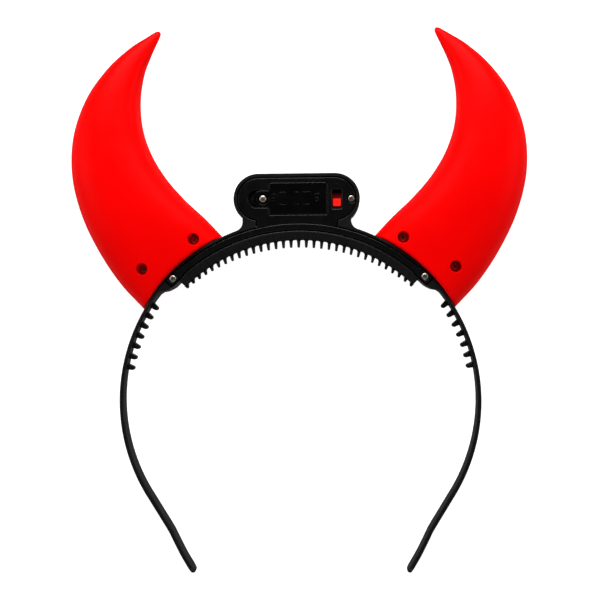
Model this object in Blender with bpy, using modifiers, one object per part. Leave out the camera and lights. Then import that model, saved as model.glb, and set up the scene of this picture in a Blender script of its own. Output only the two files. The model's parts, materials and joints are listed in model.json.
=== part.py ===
"""Devil horns headband, battery side up.

The band lies in the XY plane of the empty "headband_pose": the centre of the band's outer circle is its
origin, +Y runs from the arm tips towards the horn tips and +Z is the back of the headband, which carries the
battery door and the switch. The empty leans the whole object so that horn bellies and arm tips share a floor.
"""
import math

import bmesh
import bpy
from mathutils import Vector

MM = 0.001
GAP = 0.3 * MM
# How far a cutter runs on past the face it opens, and a hair that keeps two faces out of one plane
CLEAR = 1.0 * MM
OVERRUN = 0.1 * MM
HAIR = 0.01 * MM

# Band, seen from behind
BAND_RADIUS = 75.0 * MM
ARCH_CENTRE_Y = -1.9 * MM
ARCH_INNER_RADIUS = 71.6 * MM
ARCH_HALF_DEPTH = 7.0 * MM
ARM_HALF_DEPTH = 4.25 * MM
ARM_THICKNESS = 1.5 * MM
ARM_LOW_THICKNESS = 1.9 * MM
ARCH_END = math.radians(47.0)
# Past the arch the band steps down from a block to the thin arm
BLOCK_START = math.radians(48.4)
BLOCK_END = math.radians(49.8)
ARM_START = math.radians(52.6)
BLOCK_THICKNESS = 3.9 * MM
ARM_NARROW = math.radians(62.0)
ARC_END = math.radians(123.0)
BAND_ARCH_STEPS = 14
BLOCK_STEPS = 3
BAND_ARM_STEPS = 19
# Below its round stretch each arm runs through these points of its outer edge
ARM_LEG = [(55.3 * MM, -53.3 * MM), (53.5 * MM, -56.8 * MM), (49.8 * MM, -64.2 * MM), (45.8 * MM, -71.0 * MM)]
ARM_TIP_RADIUS = 1.05 * MM
ARM_TIP_TURNS = (30.0, 60.0, 80.0)

# Comb
COMB_VALLEY_RADIUS = 68.7 * MM
COMB_VALLEY_HALF_DEPTH = 1.6 * MM
COMB_END = math.radians(43.6)
COMB_STEPS = 24
TEETH_EACH_SIDE = 16
TOOTH_STEP = math.radians(2.456)
TOOTH_CENTRE_Y = -9.6 * MM
TOOTH_TIP_RADIUS = 73.25 * MM
TOOTH_LEAN = 0.62
TOOTH_RIDGE = 0.5 * MM
TOOTH_ROOT_WIDTH = 1.25 * MM
TOOTH_TIP_WIDTH = 0.9 * MM
TOOTH_TIP_HALF_DEPTH = 1.0 * MM

# Stubs on the inner faces of the arms
STUBS = 7
STUB_FIRST = math.radians(11.3)
STUB_STEP = math.radians(3.62)
STUB_TIP_RADIUS = 70.4 * MM
STUB_HALF_DEPTH = 1.8 * MM
STUB_SHOULDER = 1.5 * MM
STUB_HEEL = 0.9 * MM
STUB_END_RADIUS = 0.75 * MM

# Housing at the middle of the arch
# The photographed housing sits a little to the left of the band's middle
HOUSING_X = -0.5 * MM
HOUSING_Y = 83.6 * MM
HOUSING_RADIUS = 10.4 * MM
HOUSING_END_X = 15.65 * MM
HOUSING_FRONT = -8.0 * MM
HOUSING_FLOOR = 1.6 * MM
HOUSING_RIM = 1.3 * MM
TRAY_LEDGE = 1.0 * MM
NECK_HALF_WIDTH = 18.3 * MM
NECK_LOW_Y = 70.6 * MM
WEB_HALF_WIDTH = 22.4 * MM
WEB_TOP = 2.0 * MM
WEB_FOOT_X = 30.0 * MM
WEB_SINK = 1.0 * MM
WEB_RISE = 5.2 * MM
WEB_FLARE = 4.0 * MM
NECK_SET_BACK = 0.2 * MM
WEB_SET_BACK = 0.4 * MM
BACK_FACE = 7.0 * MM

# Cover let into the back
COVER_THICKNESS = 2.6 * MM
COVER_NECK_HALF_WIDTH = 16.7 * MM
COVER_NECK_LOW_Y = 72.2 * MM
STRIP_INNER_RADIUS = 72.5 * MM
STRIP_OUTER_RADIUS = 75.1 * MM
STRIP_RISE = 0.3 * MM
STRIP_END = math.radians(42.0)
ARCH_STEPS = 20
PAD_START = math.radians(41.4)
PAD_END = math.radians(46.4)
PAD_OUTER_RADIUS = 75.6 * MM
PAD_CORNER = 0.7 * MM
CHANNEL_INNER_RADIUS = 73.1 * MM
CHANNEL_OUTER_RADIUS = 74.5 * MM
CHANNEL_DEPTH = 9.0 * MM
CHANNEL_END = math.radians(40.5)

# Battery door
DOOR_LEFT = -11.7 * MM
DOOR_RIGHT = 11.95 * MM
DOOR_LOW = 77.15 * MM
DOOR_HIGH = 90.2 * MM
DOOR_THICKNESS = 1.4 * MM
DOOR_SINK = 0.2 * MM
DOOR_LEDGE = 0.6 * MM
DOOR_CORNER = 0.6 * MM
HATCH_CORNER = 0.5 * MM
TAB_X = -15.3 * MM
TAB_Y = 83.6 * MM
TAB_RADIUS = 3.4 * MM
TAB_STEPS = 12
NOTCH_X = -16.9 * MM
NOTCH_RADIUS = 3.7 * MM
NOTCH_DEPTH = 0.9 * MM

# Slide switch
SWITCH_X = 15.7 * MM
SLOT_HALF_WIDTH = 2.0 * MM
SLOT_LOW = 80.0 * MM
SLOT_HIGH = 87.2 * MM
SLOT_CORNER = 0.25 * MM
KNOB_HALF_WIDTH = 1.65 * MM
KNOB_LOW = 80.5 * MM
KNOB_HIGH = 83.85 * MM
KNOB_TOP = 7.5 * MM
SLIDER_HALF_WIDTH = 2.7 * MM
SLIDER_LOW = 79.0 * MM
SLIDER_HIGH = 85.9 * MM
SLIDER_THICKNESS = 0.9 * MM

# Screws: where they stand, and their sizes
DOOR_SCREW = (-14.7 * MM, 83.6 * MM)
HOUSING_SCREW = (21.7 * MM, 83.7 * MM)
COVER_SCREW_ANGLE = math.radians(44.4)
COVER_SCREW_RADIUS = 74.2 * MM
SCREW_HEAD_RADIUS = 1.48 * MM
SCREW_HEAD_HEIGHT = 0.95 * MM
SCREW_CROWN = [(0.0, 1.0), (0.6, 0.93), (1.0, 0.6), (1.0, 0.0)]
SCREW_SHANK_RADIUS = 0.7 * MM
SCREW_SIDES = 10
SCREW_LENGTH = 5.0 * MM
SCREW_RECESS_RADIUS = 1.9 * MM
SCREW_RECESS_DEPTH = 1.1 * MM
PAD_RECESS_RADIUS = 1.68 * MM
DOOR_RECESS_RADIUS = 2.4 * MM
DOOR_RECESS_DEPTH = 0.8 * MM
DOOR_SCREW_LENGTH = 4.2 * MM
BOSS_RADIUS = 2.4 * MM
DOOR_BOSS_LENGTH = 3.6 * MM

# Horns: a row for each section, from the base on the band to the tip
HORN_COLUMNS = ("along", "inner_x", "inner_y", "outer_x", "outer_y", "half_thickness")
HORN_SECTIONS = [
    (0.00, 31.7, 68.3, 64.8, 38.4, 9.3),
    (0.10, 38.9, 75.9, 74.6, 49.1, 10.6),
    (0.22, 47.5, 84.0, 83.8, 63.1, 11.4),
    (0.34, 55.3, 93.0, 90.8, 78.2, 11.5),
    (0.46, 61.4, 103.1, 94.6, 94.5, 10.8),
    (0.58, 65.1, 114.2, 93.9, 111.1, 9.5),
    (0.70, 65.9, 126.0, 88.3, 126.8, 7.6),
    (0.81, 64.2, 136.7, 79.4, 139.2, 5.4),
    (0.90, 61.0, 145.0, 70.1, 147.6, 3.4),
    (0.96, 58.4, 150.4, 63.0, 152.1, 2.0),
    (0.99, 57.1, 153.4, 59.4, 154.3, 1.2),
    (1.00, 57.0, 154.4, 58.4, 154.9, 0.7),
]
HORN_BASE_RADIUS = BAND_RADIUS + GAP
HORN_ARC_FADE = 0.35
HORN_WALL = 1.8 * MM
HORN_CAVITY_END = 0.86
HORN_LAND = 0.35 * MM
HORN_ROUNDNESS = 2.3
HORN_STATIONS = 15
HORN_SPANS = 10
CAVITY_STATIONS = 9
CAVITY_SPANS = 6
HORN_SCREWS = {"inner": (43.2 * MM, 67.2 * MM), "outer": (64.4 * MM, 55.0 * MM)}
WELL_RADIUS = 2.35 * MM
WELL_WALL = 1.2 * MM
WELL_FLOOR = 1.2 * MM
HORN_SCREW_HEAD_RADIUS = 1.8 * MM
HORN_SCREW_LENGTH = 9.5 * MM
# Taller than any horn half
HORN_THROUGH = 20.0 * MM

# Tab of the frame inside each horn: (angle from +Y in degrees, distance from the band's centre)
TAB_OUTLINE = [(30.0, 73.5 * MM), (30.0, 83.5 * MM), (46.0, 88.0 * MM), (53.5, 88.0 * MM), (53.5, 73.5 * MM)]
TAB_HALF_THICKNESS = 1.5 * MM
TAB_CORNER = 2.5 * MM
TAB_MIDDLE = 42.0
TAB_HOLE_RADIUS = 1.2 * MM

# Shading: the sharpest bend that stays smooth, in degrees, and the upward share of a level face's normal
SHARP_ANGLE = 35.0
LEVEL = 0.999

COLOURS = {
    "black_plastic": ((0.010, 0.010, 0.011, 1.0), 0.38, 0.0),
    "red_plastic": ((0.88, 0.006, 0.004, 1.0), 0.42, 0.0),
    "steel": ((0.62, 0.61, 0.58, 1.0), 0.28, 1.0),
}


def clear_scene():
    """Leave an empty file with two collections and the empty that everything hangs on."""
    for obj in list(bpy.data.objects):
        bpy.data.objects.remove(obj, do_unlink=True)
    for name in ("devil_horns_headband", "cutters"):
        bpy.context.scene.collection.children.link(bpy.data.collections.new(name))
    pose = bpy.data.objects.new("headband_pose", None)
    bpy.data.collections["devil_horns_headband"].objects.link(pose)
    return pose


POSE = clear_scene()
PARTS = bpy.data.collections["devil_horns_headband"]
CUTTERS = bpy.data.collections["cutters"]


def make_material(name):
    """Principled material in one of the three finishes."""
    colour, roughness, metallic = COLOURS[name]
    material = bpy.data.materials.new(name)
    material.use_nodes = True
    shader = material.node_tree.nodes["Principled BSDF"]
    shader.inputs["Base Color"].default_value = colour
    shader.inputs["Roughness"].default_value = roughness
    shader.inputs["Metallic"].default_value = metallic
    return material


MATERIALS = {name: make_material(name) for name in COLOURS}


def place(name, mesh, colour=None):
    """Object for a mesh under the pose: a part if it has a colour, a guide or cutter if it has none."""
    obj = bpy.data.objects.new(name, mesh)
    obj.parent = POSE
    if colour:
        PARTS.objects.link(obj)
        mesh.materials.append(MATERIALS[colour])
    else:
        CUTTERS.objects.link(obj)
        obj.hide_render = True
        obj.display_type = "WIRE"
    return obj


def mesh_from(name, shape):
    """Mesh of a bmesh whose closed bodies get faces that point out."""
    bmesh.ops.recalc_face_normals(shape, faces=shape.faces)
    mesh = bpy.data.meshes.new(name)
    shape.to_mesh(mesh)
    shape.free()
    return mesh


def combine(obj, operation, *others):
    """Boolean modifiers on obj, one for each of the others."""
    for other in others:
        modifier = obj.modifiers.new(other.name, "BOOLEAN")
        modifier.operation = operation
        modifier.object = other
    return obj


def polar(angle, radius, centre_y=0.0):
    """Point at an angle from +Y towards +X."""
    return (radius * math.sin(angle), centre_y + radius * math.cos(angle))


def arc(start, end, radius, steps, centre_y=0.0):
    """Points of an arc about a centre on the Y axis, its angles measured from +Y towards +X."""
    return [polar(start + (end - start) * i / steps, radius, centre_y) for i in range(steps + 1)]


def rounded(corners, steps=4):
    """Closed outline through (x, y, radius) corners, each turned into an arc of its radius."""
    points = []
    for i, (x, y, radius) in enumerate(corners):
        here = Vector((x, y))
        before = (Vector(corners[i - 1][:2]) - here).normalized()
        after = (Vector(corners[(i + 1) % len(corners)][:2]) - here).normalized()
        if radius == 0.0:
            points.append((x, y))
            continue
        half = before.angle(after) / 2
        bisector = (before + after).normalized()
        centre = here + bisector * radius / math.sin(half)
        start = here + before * radius / math.tan(half) - centre
        end = here + after * radius / math.tan(half) - centre
        turn = start.angle_signed(end)
        for step in range(steps + 1):
            angle = -turn * step / steps
            spoke = Vector((start.x * math.cos(angle) - start.y * math.sin(angle),
                            start.x * math.sin(angle) + start.y * math.cos(angle)))
            points.append(tuple(centre + spoke))
    return points


def slab(name, outline, low, high, colour=None):
    """Solid between two heights over a flat outline, from a filled and extruded 2D curve."""
    curve = bpy.data.curves.new(name + "_outline", "CURVE")
    curve.dimensions = "2D"
    curve.fill_mode = "BOTH"
    curve.extrude = (high - low) / 2
    spline = curve.splines.new("POLY")
    spline.points.add(len(outline) - 1)
    for point, (x, y) in zip(spline.points, outline):
        point.co = (x, y, 0.0, 1.0)
    spline.use_cyclic_u = True
    guide = bpy.data.objects.new(name + "_outline", curve)
    guide.location.z = (low + high) / 2
    CUTTERS.objects.link(guide)
    bpy.context.view_layer.update()
    evaluated = guide.evaluated_get(bpy.context.evaluated_depsgraph_get())
    flat = bpy.data.meshes.new_from_object(evaluated)
    shape = bmesh.new()
    shape.from_mesh(flat)
    bmesh.ops.remove_doubles(shape, verts=shape.verts, dist=1e-6)
    solid = place(name, mesh_from(name, shape), colour)
    solid.location = guide.location
    bpy.data.objects.remove(guide, do_unlink=True)
    return solid


def add_loft(shape, rings):
    """Skin through rings with equal numbers of points, closed at both ends, added to a bmesh."""
    loops = [[shape.verts.new(point) for point in ring] for ring in rings]
    for low, high in zip(loops, loops[1:]):
        for i in range(len(low)):
            j = (i + 1) % len(low)
            shape.faces.new((low[i], low[j], high[j], high[i]))
    shape.faces.new(reversed(loops[0]))
    shape.faces.new(loops[-1])


def add_cylinder(shape, x, y, radius, low, high, sides=12):
    """Upright cylinder added to a bmesh."""
    made = bmesh.ops.create_cone(shape, cap_ends=True, segments=sides, radius1=radius, radius2=radius,
                                 depth=high - low)
    bmesh.ops.translate(shape, verts=made["verts"], vec=(x, y, (low + high) / 2))


def cylinders(name, rows):
    """One cutter that holds (x, y, radius, low, high) cylinders, which stay clear of each other."""
    shape = bmesh.new()
    for x, y, radius, low, high in rows:
        add_cylinder(shape, x, y, radius, low, high)
    return place(name, mesh_from(name, shape))


def arch_band(end, inner, outer):
    """Outline of a band along the arch, as far as the angle end on both sides."""
    return (arc(-end, end, outer, ARCH_STEPS, ARCH_CENTRE_Y) + arc(end, -end, inner, ARCH_STEPS, ARCH_CENTRE_Y))


def arch_inner(angle):
    """Distance from the band's centre to the arch's inner circle, along an angle from +Y."""
    reach = ARCH_CENTRE_Y * math.cos(angle)
    return reach + math.sqrt(ARCH_INNER_RADIUS ** 2 - ARCH_CENTRE_Y ** 2 + reach ** 2)


def smooth_step(value, low, high):
    """0 below low, 1 above high and a smooth rise between them."""
    ratio = min(max((value - low) / (high - low), 0.0), 1.0)
    return ratio * ratio * (3 - 2 * ratio)


def band_stations():
    """Outer point, inward unit vector, thickness and half depth, from the arch's middle to the right tip."""
    angles = [ARCH_END * i / BAND_ARCH_STEPS for i in range(BAND_ARCH_STEPS + 1)] + [BLOCK_START]
    angles += [BLOCK_END + (ARM_START - BLOCK_END) * i / BLOCK_STEPS for i in range(BLOCK_STEPS)]
    angles += [ARM_START + (ARC_END - ARM_START) * i / BAND_ARM_STEPS for i in range(BAND_ARM_STEPS + 1)]
    rows = []
    for angle in angles:
        thickness = BAND_RADIUS - arch_inner(angle)
        if angle > ARCH_END:
            thickness -= (thickness - BLOCK_THICKNESS) * smooth_step(angle, ARCH_END, BLOCK_END)
        if angle > BLOCK_END:
            thickness += (ARM_THICKNESS - thickness) * smooth_step(angle, BLOCK_END, ARM_START) ** 0.5
        if angle > ARM_START:
            thickness += (ARM_LOW_THICKNESS - ARM_THICKNESS) * smooth_step(angle, ARM_START, ARC_END)
        narrowing = smooth_step(angle, ARCH_END, ARM_NARROW)
        depth = ARCH_HALF_DEPTH + (ARM_HALF_DEPTH - ARCH_HALF_DEPTH) * narrowing
        rows.append((polar(angle, BAND_RADIUS), (-math.sin(angle), -math.cos(angle)), thickness, depth))
    inward = Vector(rows[-1][1])
    for i, point in enumerate(ARM_LEG):
        along = Vector(point) - Vector(ARM_LEG[i - 1] if i else rows[-1][0])
        ahead = Vector(ARM_LEG[i + 1]) - Vector(point) if i + 1 < len(ARM_LEG) else along
        along = (along.normalized() + ahead.normalized()).normalized()
        inward = Vector((along.y, -along.x))
        rows.append((point, tuple(inward), ARM_LOW_THICKNESS, ARM_HALF_DEPTH))
    end = Vector(ARM_LEG[-1])
    for turn in ARM_TIP_TURNS:
        angle = math.radians(turn)
        shift = along * ARM_TIP_RADIUS * math.sin(angle) + inward * ARM_TIP_RADIUS * (1 - math.cos(angle))
        rows.append((tuple(end + shift), tuple(inward), 2 * ARM_TIP_RADIUS * math.cos(angle),
                     ARM_HALF_DEPTH - ARM_TIP_RADIUS * (1 - math.cos(angle))))
    return rows


def band_ring(row, side):
    """Rectangle across the band at a station on the right (+1) or left (-1)."""
    (x, y), (across_x, across_y), thickness, depth = row
    inner = (x + across_x * thickness, y + across_y * thickness)
    return [(side * x, y, -depth), (side * x, y, depth),
            (side * inner[0], inner[1], depth), (side * inner[0], inner[1], -depth)]


def make_band():
    """Arch and both arms as one loft from the left tip to the right one."""
    rows = band_stations()
    rings = [band_ring(row, -1) for row in reversed(rows)] + [band_ring(row, 1) for row in rows[1:]]
    shape = bmesh.new()
    add_loft(shape, rings)
    return place("headband_frame", mesh_from("headband_frame", shape), "black_plastic")


def make_comb_root():
    """Wedge that slopes from both faces of the arch down to the valleys between the teeth."""
    rings = []
    for i in range(COMB_STEPS + 1):
        angle = COMB_END * (2 * i / COMB_STEPS - 1)
        high = polar(angle, ARCH_INNER_RADIUS + GAP, ARCH_CENTRE_Y)
        low = polar(angle, COMB_VALLEY_RADIUS, ARCH_CENTRE_Y)
        edge = ARCH_HALF_DEPTH - GAP
        rings.append([(*high, -edge), (*high, edge),
                      (*low, COMB_VALLEY_HALF_DEPTH), (*low, -COMB_VALLEY_HALF_DEPTH)])
    shape = bmesh.new()
    add_loft(shape, rings)
    return place("comb_root", mesh_from("comb_root", shape))


def tooth_ring(centre, across, width, depth):
    """Six-sided section of a tooth with a ridge at the back and at the front."""
    flank = depth - TOOTH_RIDGE
    half = Vector(across) * width / 2
    left = Vector(centre) - half
    right = Vector(centre) + half
    return [(*left, -flank), (*centre, -depth), (*right, -flank),
            (*right, flank), (*centre, depth), (*left, flank)]


def make_teeth():
    """Comb teeth, each running from high on the sloping root to its tip."""
    shape = bmesh.new()
    for n in range(-TEETH_EACH_SIDE, TEETH_EACH_SIDE + 1):
        angle = n * TOOTH_STEP
        lean = TOOTH_LEAN * angle
        tip = Vector(polar(angle, TOOTH_TIP_RADIUS, TOOTH_CENTRE_Y))
        outward = Vector((math.sin(lean), math.cos(lean)))
        across = (outward.y, -outward.x)
        from_arch = tip - Vector((0.0, ARCH_CENTRE_Y))
        drop = from_arch.dot(outward)
        valley = -drop + math.sqrt(COMB_VALLEY_RADIUS ** 2 - from_arch.length_squared + drop ** 2)
        top = -drop + math.sqrt(ARCH_INNER_RADIUS ** 2 - from_arch.length_squared + drop ** 2)
        sections = [(0.0, TOOTH_TIP_WIDTH, TOOTH_TIP_HALF_DEPTH),
                    (valley, TOOTH_ROOT_WIDTH, COMB_VALLEY_HALF_DEPTH + TOOTH_RIDGE),
                    (top, TOOTH_ROOT_WIDTH, ARCH_HALF_DEPTH - 2 * GAP)]
        add_loft(shape, [tooth_ring(tuple(tip + outward * at), across, width, depth)
                         for at, width, depth in sections])
    return place("comb_teeth", mesh_from("comb_teeth", shape))


def stub_outline(elevation):
    """Fin on the right arm that points at the band's centre, with its longer slope on the upper side."""
    inward = Vector((-math.cos(elevation), -math.sin(elevation)))
    up = Vector((-inward.y, inward.x)) * -1
    root = -inward * (BAND_RADIUS - ARM_THICKNESS / 2)
    tip = -inward * (STUB_TIP_RADIUS + STUB_END_RADIUS)
    points = [root + up * STUB_SHOULDER, root - up * STUB_HEEL]
    for i in range(4):
        turn = math.pi * (i / 3 - 0.5)
        points.append(tip + (inward * math.cos(turn) + up * math.sin(turn)) * STUB_END_RADIUS)
    return [tuple(point) for point in points]


def make_stubs():
    """Fourteen fins on the arms, as one guide."""
    shape = bmesh.new()
    for i in range(STUBS):
        outline = stub_outline(STUB_FIRST + i * STUB_STEP)
        for side in (-1, 1):
            add_loft(shape, [[(side * x, y, height) for x, y in outline]
                             for height in (-STUB_HALF_DEPTH, STUB_HALF_DEPTH)])
    return place("arm_stubs", mesh_from("arm_stubs", shape))


def stadium(end_x, radius, steps=10):
    """Long outline with round ends about the housing's middle line."""
    points = []
    for side in (1, -1):
        for i in range(steps + 1):
            turn = math.pi * (i / steps - 0.5)
            points.append((HOUSING_X + side * (end_x + radius * math.cos(turn)),
                           HOUSING_Y + side * radius * math.sin(turn)))
    return points


def neck(half_width, low_y):
    """Block between the arch and the housing."""
    left = HOUSING_X - half_width
    right = HOUSING_X + half_width
    return [(left, low_y), (right, low_y), (right, HOUSING_Y), (left, HOUSING_Y)]


def web_outline():
    """Gusset behind the neck, with hollow flares that run out on the band."""
    foot = polar(math.asin(WEB_FOOT_X / BAND_RADIUS), BAND_RADIUS - WEB_SINK)
    shoulder = (WEB_HALF_WIDTH, foot[1] + WEB_RISE)
    right = [foot, (foot[0] - 0.5 * WEB_FLARE, foot[1] + 0.4 * WEB_FLARE),
             (WEB_HALF_WIDTH + 0.4 * WEB_FLARE, shoulder[1] - 0.55 * WEB_FLARE),
             shoulder, (WEB_HALF_WIDTH, HOUSING_Y - WEB_SINK)]
    return [(HOUSING_X + x, y) for x, y in right] + [(HOUSING_X - x, y) for x, y in reversed(right)]


def cover_shapes(name, grow, low, high, colour=None):
    """Cover outline grown by a clearance: housing plate, neck, arch strip and the pads at its ends."""
    inner = STRIP_INNER_RADIUS - grow
    outer = STRIP_OUTER_RADIUS + grow
    plate = slab(name, stadium(HOUSING_END_X, HOUSING_RADIUS - HOUSING_RIM - GAP + grow), low, high, colour)
    stem = slab(name + "_stem", neck(COVER_NECK_HALF_WIDTH + grow, COVER_NECK_LOW_Y), low, high)
    strip = slab(name + "_strip", arch_band(STRIP_END, inner, outer), low, high + STRIP_RISE)
    combine(plate, "UNION", stem, strip)
    for side in (-1, 1):
        start = side * (PAD_START - grow / inner)
        end = side * (PAD_END + grow / inner)
        far = PAD_OUTER_RADIUS + grow
        rows = [(start, inner, 0.0), (start, far, PAD_CORNER), (end, far, PAD_CORNER), (end, inner, PAD_CORNER)]
        corners = [(*polar(angle, radius, ARCH_CENTRE_Y), corner) for angle, radius, corner in rows]
        pad = slab("%s_pad_%d" % (name, side), rounded(corners), low - HAIR, high + STRIP_RISE + HAIR)
        combine(plate, "UNION", pad)
    return plate


def cover_screw_place(side):
    """Centre of the screw in a pad of the cover."""
    return polar(side * COVER_SCREW_ANGLE, COVER_SCREW_RADIUS, ARCH_CENTRE_Y)


def tab_outline(side, grow=0.0):
    """Outline of the frame's tab inside a horn."""
    corners = []
    for degrees, radius in TAB_OUTLINE:
        spread = math.copysign(math.degrees(grow / radius), degrees - TAB_MIDDLE)
        radius += grow if radius > BAND_RADIUS else 0.0
        corner = TAB_CORNER if radius > BAND_RADIUS else 0.0
        corners.append(polar(side * math.radians(degrees + spread), radius) + (corner,))
    return rounded(corners)


def make_frame():
    """Black moulding: band, comb, stubs, horn tabs and the housing's tray."""
    frame = make_band()
    cover_low = BACK_FACE - COVER_THICKNESS
    floor = HOUSING_FRONT + HOUSING_FLOOR
    tray_top = cover_low - GAP + OVERRUN
    housing = slab("housing_body", stadium(HOUSING_END_X, HOUSING_RADIUS), HOUSING_FRONT, BACK_FACE)
    stem = slab("housing_neck", neck(NECK_HALF_WIDTH, NECK_LOW_Y),
                HOUSING_FRONT + NECK_SET_BACK, BACK_FACE - HAIR)
    web = slab("housing_web", web_outline(), HOUSING_FRONT + WEB_SET_BACK, WEB_TOP)
    tabs = [slab("horn_tab_%d" % side, tab_outline(side), -TAB_HALF_THICKNESS, TAB_HALF_THICKNESS)
            for side in (-1, 1)]
    combine(frame, "UNION", make_comb_root(), make_teeth(), make_stubs(), stem, housing, web, *tabs)
    recess = cover_shapes("cover_recess", GAP, cover_low - GAP, BACK_FACE + CLEAR)
    tray = slab("tray", stadium(HOUSING_END_X, HOUSING_RADIUS - HOUSING_RIM - TRAY_LEDGE), floor, tray_top)
    stem_low_y = CHANNEL_INNER_RADIUS + ARCH_CENTRE_Y + GAP
    stem_tray = slab("neck_tray", neck(COVER_NECK_HALF_WIDTH - TRAY_LEDGE, stem_low_y), floor + OVERRUN,
                     tray_top - HAIR)
    channel = slab("wire_channel", arch_band(CHANNEL_END, CHANNEL_INNER_RADIUS, CHANNEL_OUTER_RADIUS),
                   cover_low - CHANNEL_DEPTH, tray_top - 2 * HAIR)
    combine(frame, "DIFFERENCE", recess, tray, stem_tray, channel)
    boss = cylinders("screw_boss", [(*HOUSING_SCREW, BOSS_RADIUS, floor - HOUSING_FLOOR / 2, cover_low - GAP)])
    combine(frame, "UNION", boss)
    pilot = SCREW_SHANK_RADIUS + GAP
    low = cover_low - SCREW_LENGTH
    holes = [(*HOUSING_SCREW, pilot, low, BACK_FACE)]
    for side in (-1, 1):
        holes.append((*cover_screw_place(side), pilot, low, BACK_FACE))
        for x, y in HORN_SCREWS.values():
            holes.append((side * x, y, TAB_HOLE_RADIUS, -2 * TAB_HALF_THICKNESS, 2 * TAB_HALF_THICKNESS))
    combine(frame, "DIFFERENCE", cylinders("frame_holes", holes))
    return frame


def door_outline(grow=0.0):
    """Door plate with a round tab on its left side, grown by a clearance."""
    left = DOOR_LEFT - grow
    right = DOOR_RIGHT + grow
    low = DOOR_LOW - grow
    high = DOOR_HIGH + grow
    radius = TAB_RADIUS + grow
    corners = [(right, low, DOOR_CORNER), (right, high, DOOR_CORNER), (left, high, DOOR_CORNER),
               (left, TAB_Y + radius, DOOR_CORNER), (TAB_X, TAB_Y + radius, 0.0), (TAB_X, TAB_Y - radius, 0.0),
               (left, TAB_Y - radius, DOOR_CORNER), (left, low, DOOR_CORNER)]
    outline = rounded(corners)
    top = outline.index((TAB_X, TAB_Y + radius))
    tab = []
    for i in range(1, TAB_STEPS):
        turn = math.pi * (0.5 + i / TAB_STEPS)
        tab.append((TAB_X + radius * math.cos(turn), TAB_Y + radius * math.sin(turn)))
    return outline[:top + 1] + tab + outline[top + 1:]


def rectangle(low_x, high_x, low_y, high_y, corner):
    """Outline of a rectangle with small round corners."""
    return rounded([(high_x, low_y, corner), (high_x, high_y, corner),
                    (low_x, high_y, corner), (low_x, low_y, corner)], 2)


def make_cover():
    """T-shaped cover with its door recess, switch slot, screw recesses and finger notch."""
    cover_low = BACK_FACE - COVER_THICKNESS
    above = BACK_FACE + CLEAR
    below = cover_low - CLEAR
    cover = cover_shapes("back_cover", 0.0, cover_low, BACK_FACE, "black_plastic")
    boss = cylinders("door_boss", [(*DOOR_SCREW, BOSS_RADIUS, cover_low - DOOR_BOSS_LENGTH, cover_low + GAP)])
    combine(cover, "UNION", boss)
    door_floor = BACK_FACE - DOOR_SINK - DOOR_THICKNESS - GAP
    recess = slab("door_recess", door_outline(GAP), door_floor, above)
    hatch = rectangle(DOOR_LEFT + DOOR_LEDGE, DOOR_RIGHT - DOOR_LEDGE,
                      DOOR_LOW + DOOR_LEDGE, DOOR_HIGH - DOOR_LEDGE, HATCH_CORNER)
    slot = rectangle(SWITCH_X - SLOT_HALF_WIDTH, SWITCH_X + SLOT_HALF_WIDTH, SLOT_LOW, SLOT_HIGH, SLOT_CORNER)
    notch = cylinders("finger_notch", [(NOTCH_X, TAB_Y, NOTCH_RADIUS, BACK_FACE - NOTCH_DEPTH, above)])
    combine(cover, "DIFFERENCE", recess, slab("battery_hatch", hatch, below, door_floor + OVERRUN),
            slab("switch_slot", slot, below, above), notch)
    seats = [(*HOUSING_SCREW, BACK_FACE, SCREW_RECESS_RADIUS)]
    for side in (-1, 1):
        seats.append((*cover_screw_place(side), BACK_FACE + STRIP_RISE, PAD_RECESS_RADIUS))
    through = SCREW_SHANK_RADIUS + GAP
    wells = [(x, y, radius, top - SCREW_RECESS_DEPTH, above) for x, y, top, radius in seats]
    holes = [(x, y, through, below, BACK_FACE) for x, y, _, _ in seats]
    holes.append((*DOOR_SCREW, through, BACK_FACE - DOOR_RECESS_DEPTH - DOOR_SCREW_LENGTH, BACK_FACE))
    combine(cover, "DIFFERENCE", cylinders("cover_wells", wells), cylinders("cover_holes", holes))
    return cover


def make_door():
    """Battery door, with a counterbore for its screw in the tab."""
    top = BACK_FACE - DOOR_SINK
    door = slab("battery_door", door_outline(), top - DOOR_THICKNESS, top, "black_plastic")
    well = cylinders("door_well", [(*DOOR_SCREW, DOOR_RECESS_RADIUS, top - DOOR_RECESS_DEPTH, top + CLEAR)])
    hole = cylinders("door_hole", [(*DOOR_SCREW, SCREW_SHANK_RADIUS + GAP, top - DOOR_THICKNESS - CLEAR, top)])
    return combine(door, "DIFFERENCE", well, hole)


def make_slider():
    """Red slider: a knob in the cover's slot on a wider foot under the cover."""
    slider_top = BACK_FACE - COVER_THICKNESS - GAP
    knob_low = slider_top - SLIDER_THICKNESS / 2
    shape = bmesh.new()
    made = bmesh.ops.create_cube(shape, size=1.0)
    size = (2 * KNOB_HALF_WIDTH, KNOB_HIGH - KNOB_LOW, KNOB_TOP - knob_low)
    bmesh.ops.scale(shape, verts=made["verts"], vec=size)
    slider = place("switch_slider", mesh_from("switch_slider", shape), "red_plastic")
    slider.location = (SWITCH_X, (KNOB_LOW + KNOB_HIGH) / 2, (KNOB_TOP + knob_low) / 2)
    foot = slab("slider_foot", rectangle(SWITCH_X - SLIDER_HALF_WIDTH, SWITCH_X + SLIDER_HALF_WIDTH,
                                         SLIDER_LOW, SLIDER_HIGH, SLOT_CORNER),
                slider_top - SLIDER_THICKNESS, slider_top)
    return combine(slider, "UNION", foot)


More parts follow.
